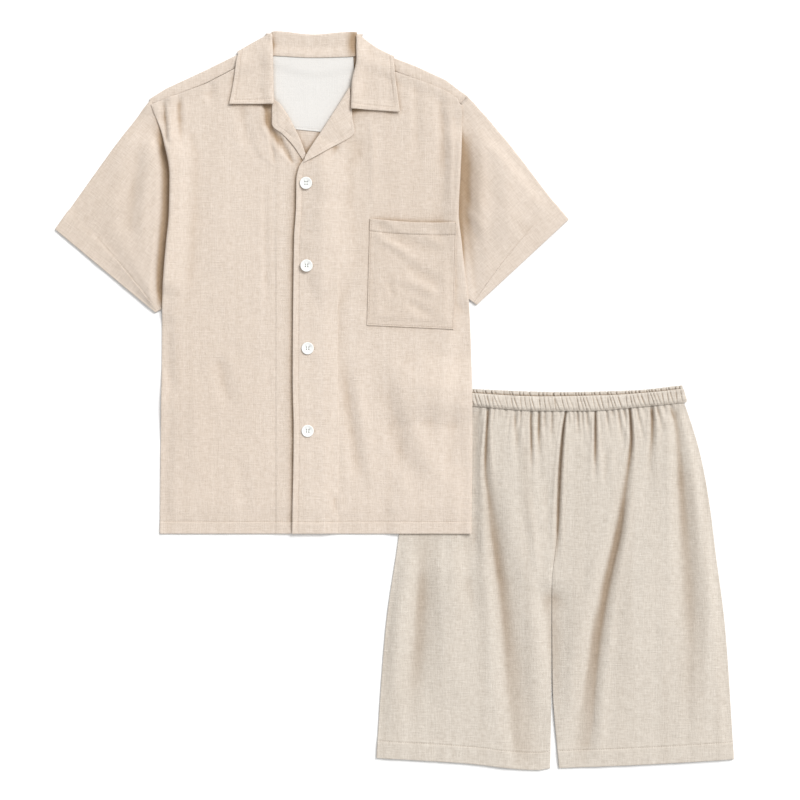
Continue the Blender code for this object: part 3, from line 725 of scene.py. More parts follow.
# painted shade along the legs' broadest folds, laid like the folds themselves
paintedFoldShades = (
    Fold(((-106, 500), (-98, 380), (-82, 280), (-64, 130), (-44, -15)), 8, 14, 0.26, 0.2, 0.08, 1.6),
    Fold(((114, 500), (99, 370), (78, 270), (62, 170), (40, -15)), 8, 14, 0.22, 0.2, 0.08, 0.62),
    Fold(((-197, 380), (-199, 290), (-204, 200), (-226, 50)), 15, 19, 0.20, 0.05, 0.2),
    Fold(((190, 470), (196, 400), (201, 300), (205, 190), (198, 30)), 11, 19, 0.20, 0.15, 0.2),
    Fold(((-150, 360), (-140, 250), (-132, 150)), 7, 9, 0.10, 0.2, 0.4),
    Fold(((-48, 500), (-44, 420), (-30, 330)), 10, 10, 0.12, 0.2, 0.4),
)
gathers = {
    "from": -190.0, "to": 188, "gap": (6.0, 12.0), "long": (14, 75), "depth": (0.8, 3.0),
    "wide": 1.5, "endWide": (3.0, 5.5), "lean": 0.0016, "seed": 5,
}


def gatherFolds():
    # short pleats that run down from the band, between the long folds
    chance = random.Random(gathers["seed"])
    folds, x = [], gathers["from"]
    while x < gathers["to"]:
        long = chance.uniform(*gathers["long"])
        depth = chance.uniform(*gathers["depth"])
        foot = float(straight(bandShape["foot"], x)) + 3
        lean = x * gathers["lean"] * long
        folds.append(Fold(((x, foot), (x + lean, foot - long)), gathers["wide"],
                          chance.uniform(*gathers["endWide"]), -depth, 0, 0.85))
        x += chance.uniform(*gathers["gap"])
    return folds


def legPlan(side, shares, rises):
    # side: -1 for the right leg and 1 for the left
    word = "right" if side < 0 else "left"
    share, rise = crossed(shares, rises)
    hemOuter, hemInner = legShape["hemEnds"]
    headOuter, headInner = legShape["headEnds"]
    foot = through(legShape["hem"], mix(side * hemOuter, side * hemInner, share))
    head = through(bandShape["foot"], mix(side * headOuter, headInner, share)) + bandShape["tuck"]
    height = mix(foot, head, rise)
    outer = through(legShape[word + "Side"], height)
    inner = through(legShape[word + "Inner"], height) + side * 0.04
    x = mix(outer, inner, share)
    return x, height, np.abs(x - outer), np.abs(x - inner), height - foot


def clothThick(shape, up, drawn=0.75):
    # doubled below the hem's stitches, which draw it in
    past = up - shape["hemDepth"]
    return mix(shape["hemThick"], shape["thick"], ease((past + 0.8) / 1.6)) - groove(past, drawn)


def legWall(side, isFront, columns, cell, folds):
    width, length, top = legShape["wide"], legShape["tall"], legShape["gathered"]
    shares = gridLines(width, width / columns)
    rises = gridLines(length, cell, (legShape["hemDepth"],), (True, False))
    if isFront:
        topRows = gridLines(top, 2.4, (), (False, False)) * top
        rises = np.concatenate([rises[rises < 1 - top / length], 1 - top / length + topRows / length])
    x, up, outer, inner, fromHem = legPlan(side, shares, rises)
    thick = clothThick(legShape, fromHem, 0.95)
    row = np.array((x, up)) + shortsAt[:, None, None]
    z = heap.under(row[0], row[1])
    if isFront:
        underShirt = ease((legShape["shirtEdge"] - x) / 20) * ease((up - legShape["shirtHem"]) / 60)
        apart = ease((legShape["apartBelow"] - up) / 40)
        legEdge = swell(inner, apart, 22)
        crotchSeam = swell(inner, (1 - apart) * 0.12, 2.5)
        loft = through(legShape["loft"], up) * (1 - swell(outer, 1, 15))
        loft = loft * mix(1.0, 0.12, underShirt) * (1 - legEdge - crotchSeam)
        air = loft + foldHeights(x, up, folds) * (1 - swell(outer, 1, 10)) * (1 - 0.7 * underShirt)
        air = air + 0.4 * ripple(x, up, 26, 3) + 0.18 * ripple(x, up, 9, 8)
        air = air + 0.55 * ripple(x, up / 9, 13, 17) * ease((outer - 5) / 20)
        z = z + above(air, 0.6)
    joined = 9 * ease((up - legShape["joinedAbove"]) / 8) if isFront else 0
    half = rimmed(thick, outer, inner + joined, fromHem)
    return np.stack([row[0], row[1], z + thick / 2], 2), half


def bandLayer(top, isFront, shares, rises, folds):
    share, rise = crossed(shares, rises)
    headX, footX = mix(*bandShape["ends"], share), mix(*bandShape["footEnds"], share)
    head, foot = through(bandShape[top], headX), through(bandShape["foot"], footX)
    x, up = mix(footX, headX, rise), mix(foot, head, rise)
    row = np.array((x, up)) + shortsAt[:, None, None]
    tall = head - foot
    fromFoot, fromHead = rise * tall, (1 - rise) * tall
    thick = bandShape["thick"] * mix(0.6, 1.0, ease(fromFoot / 5))
    ridges = foldHeights(x, up, folds)
    if isFront:
        steep, gentle = heap.under(row[0], row[1], 0.8, 1), heap.under(row[0], row[1], 0.22, 4)
        air = bandShape["loft"] * ease(fromFoot / 5) * ease(fromHead / 3)
        air = air + ridges * ease((fromFoot - 0.5) / 2)
        z = mix(steep, gentle, ease(fromFoot / 5)) + above(air, 0.4)
    else:
        z = above(bandShape["backLoft"] * ease((fromFoot - 8) / 14) + ridges, 0.4) * ease(rise * 2)
        row[1] += 0.3 * ridges * ease((fromFoot - 12) / 10)
    z = z + thick / 2
    return np.stack([row[0], row[1], z], 2), rimmed(thick, fromFoot, fromHead)


def bandFolds():
    # uneven slanting ridges, drawn up by the elastic
    chance = random.Random(bandShape["seed"])
    folds, x = [], float(bandShape["ends"][0])
    while x < -bandShape["ends"][0]:
        foot = float(straight(bandShape["foot"], x)) - 1
        slant = chance.uniform(*bandShape["slant"])
        deep = chance.uniform(0.4, 1.15) * bandShape["ridgeDepth"]
        folds.append(Fold(((x, foot), (x + slant * 0.4, foot + 13), (x + slant, foot + 30)),
                          chance.uniform(0.8, 1.3), chance.uniform(0.8, 1.3), -deep, 0, 0))
        x += chance.uniform(*bandShape["ridgeGap"])
    return folds


def makeShorts():
    ridges = bandFolds()
    shares = gridLines(bandShape["wide"], 0.85)
    rises = gridLines(bandShape["tall"], 1.4)
    lower, lowerHalf = bandLayer("backTop", False, shares, rises, ridges)
    heap.lay(lower, lowerHalf)
    folds = list(legFolds) + gatherFolds()
    legs = (("right", -1), ("left", 1))
    for layer, columns, cell, below in (("back", 56, 5.0, "waistband_cloth"), ("front", 180, 4.4, "")):
        # both legs are shaped before either is laid, so that neither climbs over the other
        walls = [legWall(side, layer == "front", columns, cell, folds) for _, side in legs]
        for wall in walls:
            heap.lay(*wall)
        for (middle, half), (word, _) in zip(walls, legs):
            node = "shorts_" + layer + "_" + word
            leg = clothPiece(node + "_cloth", middle, half, [node], "shorts_cloth")
            below or "shorts_back_" + word + "_cloth"
    for word, side in legs:
        sewHem(word, side)
    upper, upperHalf = bandLayer("frontTop", True, shares, rises, ridges)
    radius = (upper[-1, :, 2] - lower[-1, :, 2]) / 2
    turned = rolled(upper[-1], pointing(-1, 0, len(rises)), radius, 6)[:-1][::-1]
    middle = np.concatenate([lower, np.array(turned), upper[::-1]])
    # the wall keeps its thickness where the ring turns back at its end
    turnHalf = np.broadcast_to(upperHalf[-2], (len(turned), len(rises)))
    halves = [lowerHalf.copy(), turnHalf, upperHalf[::-1].copy()]
    halves[0][-6:] = lowerHalf[-7]
    halves[2][:6] = upperHalf[-7]
    band = clothPiece("waistband_cloth", middle, np.concatenate(halves), ["waistband"], "shorts_cloth")
    legTops = heap.tops.copy()
    heap.lay(upper, upperHalf)
    x = np.linspace(bandShape["footEnds"][0] + 3, bandShape["footEnds"][1] - 3, 200)
    up = through(bandShape["foot"], x) + bandShape["topstitch"]
    sew("waistband", bandThread, "shorts_cloth", (x + shortsAt[0], up + shortsAt[1]),
        pitch=bandShape["pitch"])
    return legTops, heap.tops.copy()


def sewHem(word, side):
    share = np.linspace(0.01, 0.99, 60)
    line = legPlan(side, share, np.array([0.0, 1.0]))[1][:, 0] + legShape["hemDepth"]
    outer = through(legShape[word + "Side"], line)
    inner = through(legShape[word + "Inner"], line)
    sew("shorts_hem_" + word, shortsThreadAndShade, "shorts_cloth",
        (mix(outer, inner, share) + shortsAt[0], line + shortsAt[1]))


legTops, shortsTops = makeShorts()
print("shorts laid")


# The shirt

bodyShape = {
    "rightSide": ((0, -233), (160, -231.5), (255, -230), (345, -229), (390, -226.5), (437, -222.5),
                  (480, -218.5), (535, -217.5), (597, -229), (642, -246), (652, -249)),
    "leftSide": ((0, 233), (160, 234.5), (255, 233), (345, 229.5), (390, 224), (437, 218.5),
                 (480, 214), (535, 216.5), (597, 219), (642, 219.5), (652, 228)),
    "top": ((-249, 651), (-223, 667), (-169, 692), (-116, 718), (-72, 735), (-60, 718), (-5, 713),
            (50, 715.5), (66, 730), (116, 713), (150, 700), (195.5, 679), (213.5, 665), (228, 655)),
    "shoulderSeam": ((-246, 643), (-220, 653), (-166, 674), (-120, 698), (-72, 720),
                     (66, 712), (121, 692), (166, 675), (192, 663), (219, 642)),
    "topEnds": (-249, 228), "neck": (-72, 66), "seamEnds": (-246, 219.3), "tall": 725,
    "hemDepth": 18, "thick": 1.1, "hemThick": 1.5, "shoulderLoft": 1.6, "shoulderSlope": 0.45,
}
rollShape = {
    "rightEdge": ((0, 11), (545, 11), (566, -14), (589, -24), (607, -33), (626, -45), (645, -60),
                  (690, -67), (721, -71)),
    "leftEdge": ((0, -35), (157, -32.5), (230, -34), (440, -32), (490, -29), (530, -28.5), (550, -24),
                 (560, -17), (604, 12), (652, 43), (678, 57), (707, 62), (713, 66)),
    "rightLapelEdge": ((0, -18.5, 559), (0.3, -34, 582), (0.55, -49, 598), (0.8, -65, 614), (1, -65, 652)),
    "rightLapelRoll": ((0, -15.5, 566), (0.3, -24, 588), (0.55, -32, 605), (0.8, -41, 622), (1, -56, 646)),
    "leftLapelEdge": ((0, -17.5, 555), (0.2, 3, 566), (0.4, 22, 577), (0.65, 58.5, 602),
                      (0.85, 55, 626), (1, 54, 648)),
    "leftLapelRoll": ((0, -16, 561), (0.2, -2, 583), (0.4, 12, 604), (0.65, 29, 630),
                      (0.85, 43, 652), (1, 51, 666)),
}
collarShape = {
    "rightEdge": ((0, -129, 643), (0.35, -123.5, 672), (0.7, -119.5, 699), (1, -117.5, 721.5)),
    "rightRoll": ((0, -65, 643), (0.35, -66, 680), (0.7, -66.5, 715), (1, -68, 749)),
    "leftEdge": ((0, 126.5, 631), (0.35, 122.5, 662), (0.7, 119, 688), (1, 118, 714.5)),
    "leftRoll": ((0, 56, 636), (0.35, 57.5, 676), (0.7, 64.5, 712), (1, 64, 748)),
    "rightBow": 0.5, "leftBow": -2.5,     # how far the folded upper ends bow out
    "neckRoll": ((-66, 751.5), (-60, 752.5), (-4, 747.5), (55, 751.5), (62, 751)),
    "neckSeam": ((-66, 716), (-56, 715.5), (-5, 713), (46, 714), (62, 715)),
    "neckFall": ((-66, 712), (-30, 700), (0, 694), (30, 699), (62, 711)),
    "thick": 1.7, "topstitch": 7.0, "tall": 95, "fallThick": 1.3, "standThick": 1.5, "standTall": 32,
    "standLoft": 1.6, "standTop": 3.4, "cut": (0.11, 0.1), "standCut": (0.14, 0.09),
    "edgeLift": (1.5, 9), "footLift": (1.8, 9), "rollLift": (3.2, 15),   # how high, and over what width
    "floor": 4.0, "roll": 2.6, "tail": 7, "surface": 0.75,
    "sunk": ((2.2, 14), (1.4, 8)),                 # the stand's left and right ends: how deep and wide
}
backColumns = (-249, -223, -190, -150, -112, -72, -60, -32, -5, 25, 50, 66, 112, 150, 197, 228)
neckColumns = np.linspace(-66, 62, 60)

rightFrontFolds = (
    Fold(((-228, 648), (-228, 628), (-227, 606), (-226, 580)), 2.6, 5.5, -5.0, 0.2, 0.15),
    Fold(((-216, 668), (-217, 630), (-217, 570)), 6.0, 8.0, 2.6, 0.2, 0.35),
    Fold(((-205, 662), (-204, 610), (-203, 560)), 4.0, 6.0, -1.5, 0.15, 0.4),
    Fold(((-158, 678), (-155, 640)), 6.0, 7.0, -1.2, 0.1, 0.5),
    Fold(((-71, 650), (-71, 620), (-63, 600), (-47, 577), (-30, 552)), 6.0, 4.0, -3.8, 0.1, 0.3),
    Fold(((-112, 645), (-104, 600), (-92, 560)), 8.0, 8.0, -1.2, 0.2, 0.5),
    Fold(((-70, 606), (-64, 572), (-59, 535)), 2.2, 2.6, -1.6, 0.2, 0.4),
    Fold(((-54, 598), (-43, 572), (-31, 549)), 2.2, 2.6, -2.2, 0.1, 0.3),
    Fold(((-148, 270), (-140, 230), (-124, 172)), 9.0, 12, -1.7, 0.25, 0.35),
    Fold(((-70, 250), (-70, 215)), 2.2, 2.2, -0.9, 0.3, 0.3),
    Fold(((-222, 320), (-223, 200), (-218, 60)), 9.0, 10, -1.2, 0.2, 0.3),
    Fold(((-185, 250), (-178, 130), (-172, 60)), 14, 16, 1.1, 0.3, 0.3),
    Fold(((-120, 130), (-108, 60), (-104, 22)), 9, 10, -1.0, 0.3, 0.2),
    Fold(((-77, 540), (-75, 420), (-72, 330)), 3.5, 4.0, -0.8, 0.2, 0.3),
    Fold(((-150, 590), (-140, 470), (-150, 370)), 22, 24, 0.9, 0.3, 0.3),
)
leftFrontFolds = (
    Fold(((42, 300), (46, 235), (54, 165), (66, 95), (71, 45)), 8.0, 11, -1.9, 0.4, 0.35, 1.2),
    Fold(((58, 262), (64, 190), (74, 120), (86, 60)), 8.0, 10, 1.6, 0.3, 0.3),
    Fold(((100, 190), (118, 145), (136, 105), (160, 58)), 14, 17, -1.2, 0.25, 0.3),
    Fold(((106, 290), (124, 225), (146, 160), (172, 100), (190, 50)), 14, 17, 1.6, 0.2, 0.3),
    Fold(((214, 420), (216, 300), (208, 180), (200, 60)), 9.0, 12, -1.7, 0.15, 0.25),
    Fold(((60, 600), (64, 570), (58, 540)), 11, 12, -1.3, 0.25, 0.4),
    Fold(((34, 584), (24, 562), (13, 542)), 5.0, 6.0, -1.3, 0.15, 0.4),
    Fold(((85, 625), (86, 540), (86, 478)), 4.0, 4.0, 0.9, 0.2, 0.3),
    Fold(((110, 690), (112, 610)), 5.0, 6.0, -1.1, 0.1, 0.5),
    Fold(((150, 680), (152, 600), (150, 540)), 6.0, 7.0, -1.1, 0.1, 0.5),
    Fold(((186, 660), (190, 580), (190, 520)), 7.0, 8.0, -1.2, 0.1, 0.5),
    Fold(((200, 640), (203, 560), (201, 470)), 5.0, 5.0, 1.3, 0.2, 0.3),
    Fold(((28, 60), (30, 28)), 4.0, 4.0, -1.3, 0.3, 0.3),
    Fold(((-18, 470), (-6, 400), (2, 330)), 10, 12, 0.6, 0.3, 0.3),
    Fold(((110, 60), (114, 30)), 7.0, 7.0, 0.8, 0.3, 0.3),
)


def onShirt(x, up):
    return x + shirtAt[0], up + shirtAt[1]


def panelPlan(columnsX, shares, rises, top, right, left):
    # an upright panel: columns run from the hem up to where they meet the top line
    share, rise = crossed(shares, rises)
    at = mix(columnsX[0], columnsX[1], share)
    head = top(at)
    up = rise * head
    start, end = right(up), left(up)
    x = mix(start, end, share)
    return x, up, head, np.abs(x - start), np.abs(x - end), at


def makeUnderCollar():
    # the part of the collar that is folded under the back
    x, share = crossed(neckColumns, np.linspace(0, 1, 14))
    up = mix(through(collarShape["neckFall"], x), through(collarShape["neckRoll"], x), share)
    thick = np.full_like(x, collarShape["fallThick"])
    half = rimmed(thick, share * 50)
    return layCloth(onShirt(x, up), thick / 2, half), half


def makeBack():
    cell = 4.5
    (first, last), (neckRight, neckLeft) = bodyShape["topEnds"], bodyShape["neck"]
    xs = [np.linspace(a, b, max(2, round((b - a) / cell)) + 1)[:-1]
          for a, b in zip(backColumns, backColumns[1:])]
    edge = np.array(gridMarks["edge"])
    xs = np.sort(np.concatenate(xs + [[last], first + edge, last - edge]))
    shares = (xs - first) / (last - first)
    rises = gridLines(bodyShape["tall"], cell, (bodyShape["hemDepth"],))
    x, up, head, fromRight, fromLeft, at = panelPlan(
        bodyShape["topEnds"], shares, rises, lambda v: straight(bodyShape["top"], v),
        lambda h: through(bodyShape["rightSide"], h), lambda h: through(bodyShape["leftSide"], h))
    thick = clothThick(bodyShape, up, 0.95)
    row = onShirt(x, up)
    z = heap.under(row[0], row[1], 0.22, 3) + thick / 2
    inNeck = (at > neckRight - 0.01) & (at < neckLeft + 0.01)
    half = rimmed(thick, fromRight, fromLeft, np.where(inNeck, head - up, 99), up)
    main = layCloth(row, z, half)
    # over the shoulder to the seam on the chest side
    seamX = np.clip(xs, *bodyShape["seamEnds"])
    topUp, seamUp = straight(bodyShape["top"], xs), straight(bodyShape["shoulderSeam"], seamX)
    part = np.array((0, 0.08, 0.25, 0.5, 0.75, 0.9, 0.97, 1.0))
    flapX = mix(xs[:, None], seamX[:, None], part)
    flapUp = mix(topUp[:, None], seamUp[:, None], part)
    flapRow = onShirt(flapX, flapUp)
    flapThick = np.full_like(flapX, bodyShape["thick"])
    toSeam = (1 - part)[None, :] * np.hypot(xs - seamX, topUp - seamUp)[:, None]
    flapZ = heap.under(flapRow[0], flapRow[1]) + flapThick / 2 + 0.3 * ripple(flapX, flapUp, 22, 4)
    flapZ = flapZ + bodyShape["shoulderLoft"] * (0.55 + 0.45 * ease(part * 3))
    flap = np.stack([flapRow[0], flapRow[1], flapZ], 2)
    toSides = [off[:, -1:] + 0.5 + 0 * flapX for off in (fromRight, fromLeft)]
    flapHalf = rimmed(flapThick, toSeam, *toSides)
    slope = np.where(xs < -5, -1, 1) * bodyShape["shoulderSlope"]
    inward = pointing(-slope, -1, len(xs))
    radius = (flap[:, 0, 2] - main[:, -1, 2]) / 2
    shift = (inward * radius[:, None])[:, None, :]
    fromTop = np.hypot(flapX - xs[:, None], flapUp - topUp[:, None])
    main += np.where(inNeck[:, :1, None], 0, shift * swell(head - up, 1, 8)[..., None])
    flap += shift * swell(fromTop, 1, 8)[..., None]
    turned = np.stack(rolled(flap[:, 0], inward, radius, 6)[:-1][::-1], 1)
    middle, allHalf = foldOver(main, half, turned, half[:, -1:], flap, flapHalf)
    topRow = len(rises) - 1
    neck = [int(np.argmin(abs(xs - end))) for end in bodyShape["neck"]]

    def keep(i, j):
        return j < topRow or not neck[0] <= i < neck[1]

    back = clothPiece("shirt_back_cloth", middle, allHalf, ["shirt_back"], "shirt_cloth", keep=keep)
    for shoulder in ((flapX < neckRight).all(1), (flapX > neckLeft).all(1)):
        heap.lay(flap[shoulder], flapHalf[shoulder])


sleeveShape = {
    "right": {
        "fold": ((0, -250.5, 651), (0.25, -285, 603), (0.5, -319.5, 555), (0.75, -354.5, 505),
                 (1, -389, 455)),
        "hemOuter": (-389, 454), "hemInner": (-240, 331.5), "underarm": 342, "grain": -37, "low": 1.0},
    "left": {
        "fold": ((0, 229.5, 656), (0.17, 261.5, 620), (0.5, 308, 560), (0.83, 353, 500), (1, 378, 469.5)),
        "hemOuter": (378, 469.5), "hemInner": (241.5, 343), "underarm": 359, "grain": 40, "low": 0.35},
    "tuckUpper": ((340, 9), (560, 9), (592, 5), (604, 3), (635, 3), (660, 2)),
    "tuckLower": ((340, 3), (560, 3), (600, 3), (630, 1), (660, 0.5)),
    "thick": 1.1, "hemThick": 1.9, "hemDepth": 25, "loft": 11.0, "cut": (0.48, 0.2), "cutArea": 0.068,
    "long": (175, 130), "across": 245,                       # from armhole to hem, and fold to underarm
    "valleyRight": (4.0, 16.0), "valleyLeft": (6.0, 30.0),   # where the sleeve rises beside the body
    "lowTo": 405, "flushFrom": 612, "flush": (1.2, 3.0), "farLoft": 0.3, "foldLoft": 0.35, "hemLoft": 0.12,
}
sleeveFolds = {
    "right": (
        Fold(((-252, 622), (-272, 530), (-281, 470), (-284, 430)), 12, 14, -2.2, 0.1, 0.3),
        Fold(((-249, 600), (-255, 500), (-262, 400)), 9, 10, 1.8, 0.2, 0.3),
        Fold(((-330, 500), (-310, 440), (-290, 410)), 16, 16, -0.9, 0.3, 0.3),
    ),
    "left": (
        Fold(((250, 600), (262, 540), (264, 470), (252, 420)), 11, 13, -2.0, 0.1, 0.3),
        Fold(((280, 560), (290, 500), (285, 430)), 18, 20, 1.4, 0.3, 0.3),
        Fold(((320, 500), (310, 440)), 14, 14, -0.8, 0.3, 0.3),
        Fold(((224, 520), (236, 488), (254, 462)), 5.0, 7.0, -1.0, 0.2, 0.4),
        Fold(((226, 480), (238, 452), (250, 425)), 5.0, 7.0, -0.9, 0.2, 0.4),
    ),
}


def sleevePlan(word, parts, downs, layer):
    # part: armhole to hem; down: fold on top of the arm to underarm
    cut = sleeveShape[word]
    outward = -1 if word == "right" else 1
    part, down = crossed(parts, downs)
    foldX, foldUp = curve(cut["fold"], part)
    startX, startUp = cut["fold"][0][1:]
    head = mix(startUp - 1.5, cut["underarm"], down)
    inside = through(sleeveShape["tuck" + layer], head)
    side = through(bodyShape[word + "Side"], head) - inside * outward
    endX = mix(cut["hemOuter"][0], cut["hemInner"][0], down)
    endUp = mix(cut["hemOuter"][1], cut["hemInner"][1], down)
    x, up = mix(side, endX, part), mix(head, endUp, part)
    chordX, chordUp = mix(startX, cut["hemOuter"][0], part), mix(startUp, cut["hemOuter"][1], part)
    fade = (1 - down) ** 2
    return x + (foldX - chordX) * fade, up + (foldUp - chordUp) * fade, part, down


def makeSleeve(word):
    outward = -1 if word == "right" else 1
    across = sleeveShape["across"]
    parts = gridLines(150, 3.6, (150 - sleeveShape["hemDepth"],), (False, True))
    downs = gridLines(across, 3.6, (), (False, True))
    layers = []
    for layer in ("Lower", "Upper"):
        x, up, part, down = sleevePlan(word, parts, downs, layer)
        row = onShirt(x, up)
        toHem = (1 - part) * mix(*sleeveShape["long"], down)
        toUnderarm, toFold = (1 - down) * across, down * across
        thick = clothThick(sleeveShape, toHem) * mix(0.6, 1.0, ease(part * 8))
        z = heap.under(row[0], row[1]) + thick / 2
        if layer == "Upper":
            away = outward * (x - through(bodyShape[word + "Side"], np.clip(up, 340, 652)))
            start, wide = sleeveShape["valley" + word.capitalize()]
            loft = sleeveShape["loft"] * ease((away - start) / wide)
            loft = loft * mix(1.0, sleeveShape["farLoft"], np.clip((away - start - wide) / 130, 0, 1))
            loft = loft * mix(sleeveShape[word]["low"], 1.0, ease((up - sleeveShape["lowTo"]) / 75))
            # at its head the sleeve lies flush with the shoulder
            flush, flushRise = sleeveShape["flush"]
            flush = flush + flushRise * ease(away / 40)
            loft = mix(flush, loft, ease((sleeveShape["flushFrom"] - up) / 40))
            loft = loft * mix(sleeveShape["foldLoft"], 1.0, ease(toFold / 26))
            loft = loft * mix(0.5, 1, ease(toUnderarm / 22))
            loft = loft * mix(sleeveShape["hemLoft"], 1.0, ease(toHem / 50))
            air = loft + foldHeights(x, up, sleeveFolds[word]) * ease((away - 4) / 10)
            air = air + (0.35 * ripple(x, up, 24, 6) + 0.15 * ripple(x, up, 8, 2)) * ease(away / 12)
            z = z + above(air, 0.5)
        half = rimmed(thick, toHem, toUnderarm)
        layers.append((layCloth(row, z, half), half))
    (lower, lowerHalf), (upper, upperHalf) = layers
    # square to the fold on top of the arm, and towards the underarm
    slope = np.gradient(upper[:, 0, :2], axis=0)
    inward = pointing(-slope[:, 1], slope[:, 0], len(parts))
    inward *= np.sign((inward * (upper[:, 5] - upper[:, 0])).sum(1))[:, None]
    radius = (upper[:, 0, 2] - lower[:, 0, 2]) / 2
    turned = np.stack(rolled(upper[:, 0], inward, radius, 6)[:-1][::-1], 1)
    middle, half = foldOver(lower[:, ::-1], lowerHalf[:, ::-1], turned, upperHalf[:, :1], upper, upperHalf)
    node = "sleeve_" + word
    sleeve = clothPiece(node + "_cloth", middle, half, [node], "shirt_cloth", sleeveShape[word]["grain"])
    downs, fine = np.linspace(0.01, 0.985, 60), np.linspace(0, 1, 101)
    x, up, _, _ = sleevePlan(word, fine, downs, "Upper")
    share = 1 - sleeveShape["hemDepth"] / mix(*sleeveShape["long"], downs)
    line = [[np.interp(s, fine, places[:, k]) for k, s in enumerate(share)] for places in (x, up)]
    sew(node + "_hem", shirtThread, "shirt_cloth", onShirt(*np.array(line)))


patchShape = {
    "sides": ((602, -58, 34), (640, -66, 48), (680, -71, 58), (722, -62, 56)),
    "top": ((-70, 722), (-56, 721), (-5, 716), (46, 718.5), (60, 722)),
    "hem": ((-58, 609), (-12, 604), (34, 599.5)),
    "topEnds": (-70, 60), "hemEnds": (-58, 34), "wide": 120, "tall": 105,
    "thick": 0.8, "hemDepth": 3.0, "pitch": 2.8, "cut": (0.13, 0.115), "cutArea": 0.0125,
}


def makePatch():
    cell = 4
    share, rise = crossed(gridLines(patchShape["wide"], cell),
                          gridLines(patchShape["tall"], cell, (patchShape["hemDepth"],)))
    head = through(patchShape["top"], mix(*patchShape["topEnds"], share))
    foot = through(patchShape["hem"], mix(*patchShape["hemEnds"], share))
    up = mix(foot, head, rise)
    right, left = curve(patchShape["sides"], up)
    x = mix(right, left, share)
    row = onShirt(x, up)
    thick = patchShape["thick"] - groove(up - foot - patchShape["hemDepth"], 0.3)
    z = heap.under(row[0], row[1]) + thick / 2 + above(0.5 * ripple(x, up, 30, 9) + 0.2, 0.4)
    half = rimmed(thick, x - right, left - x, up - foot, head - up)
    middle = layCloth(row, z, half)
    patch = clothPiece("neck_patch_cloth", middle, half, ["neck_patch"], "patch_cloth")
    across = np.linspace(0.03, 0.97, 30)
    lineUp = through(patchShape["hem"], mix(*patchShape["hemEnds"], across)) + patchShape["hemDepth"]
    sew("neck_patch", patchThread, "patch_cloth", onShirt(mix(-57, 33.5, across), lineUp),
        pitch=patchShape["pitch"])


frontShape = {
    "right": {"columns": (-246, -71), "facing": 70, "wide": 240, "armhole": 26, "lift": 7.0,
              "inward": 1, "ripple": 5, "cut": (0.27, 0.74), "cutArea": 0.165},
    "left": {"columns": (66, 219), "facing": 67, "wide": 265, "armhole": 120, "lift": 5.95,
             "inward": -1, "ripple": 15, "cut": (0.27, 0.74), "cutArea": 0.175},
    "thick": 1.1, "hemThick": 1.6, "hemDepth": 18, "edgeStitch": 8.5, "edgeLift": 2.0, "facingThick": 0.9,
    "armholeRoll": 3.6, "sideRoll": 1.0, "floor": 1.6, "loft": 3.6, "creases": 1.25, "tall": 680,
    "armholeFoot": 352, "armholeHead": 612, "shoulderFrom": 590, "facingTo": 600, "lapelFrom": 545,
}


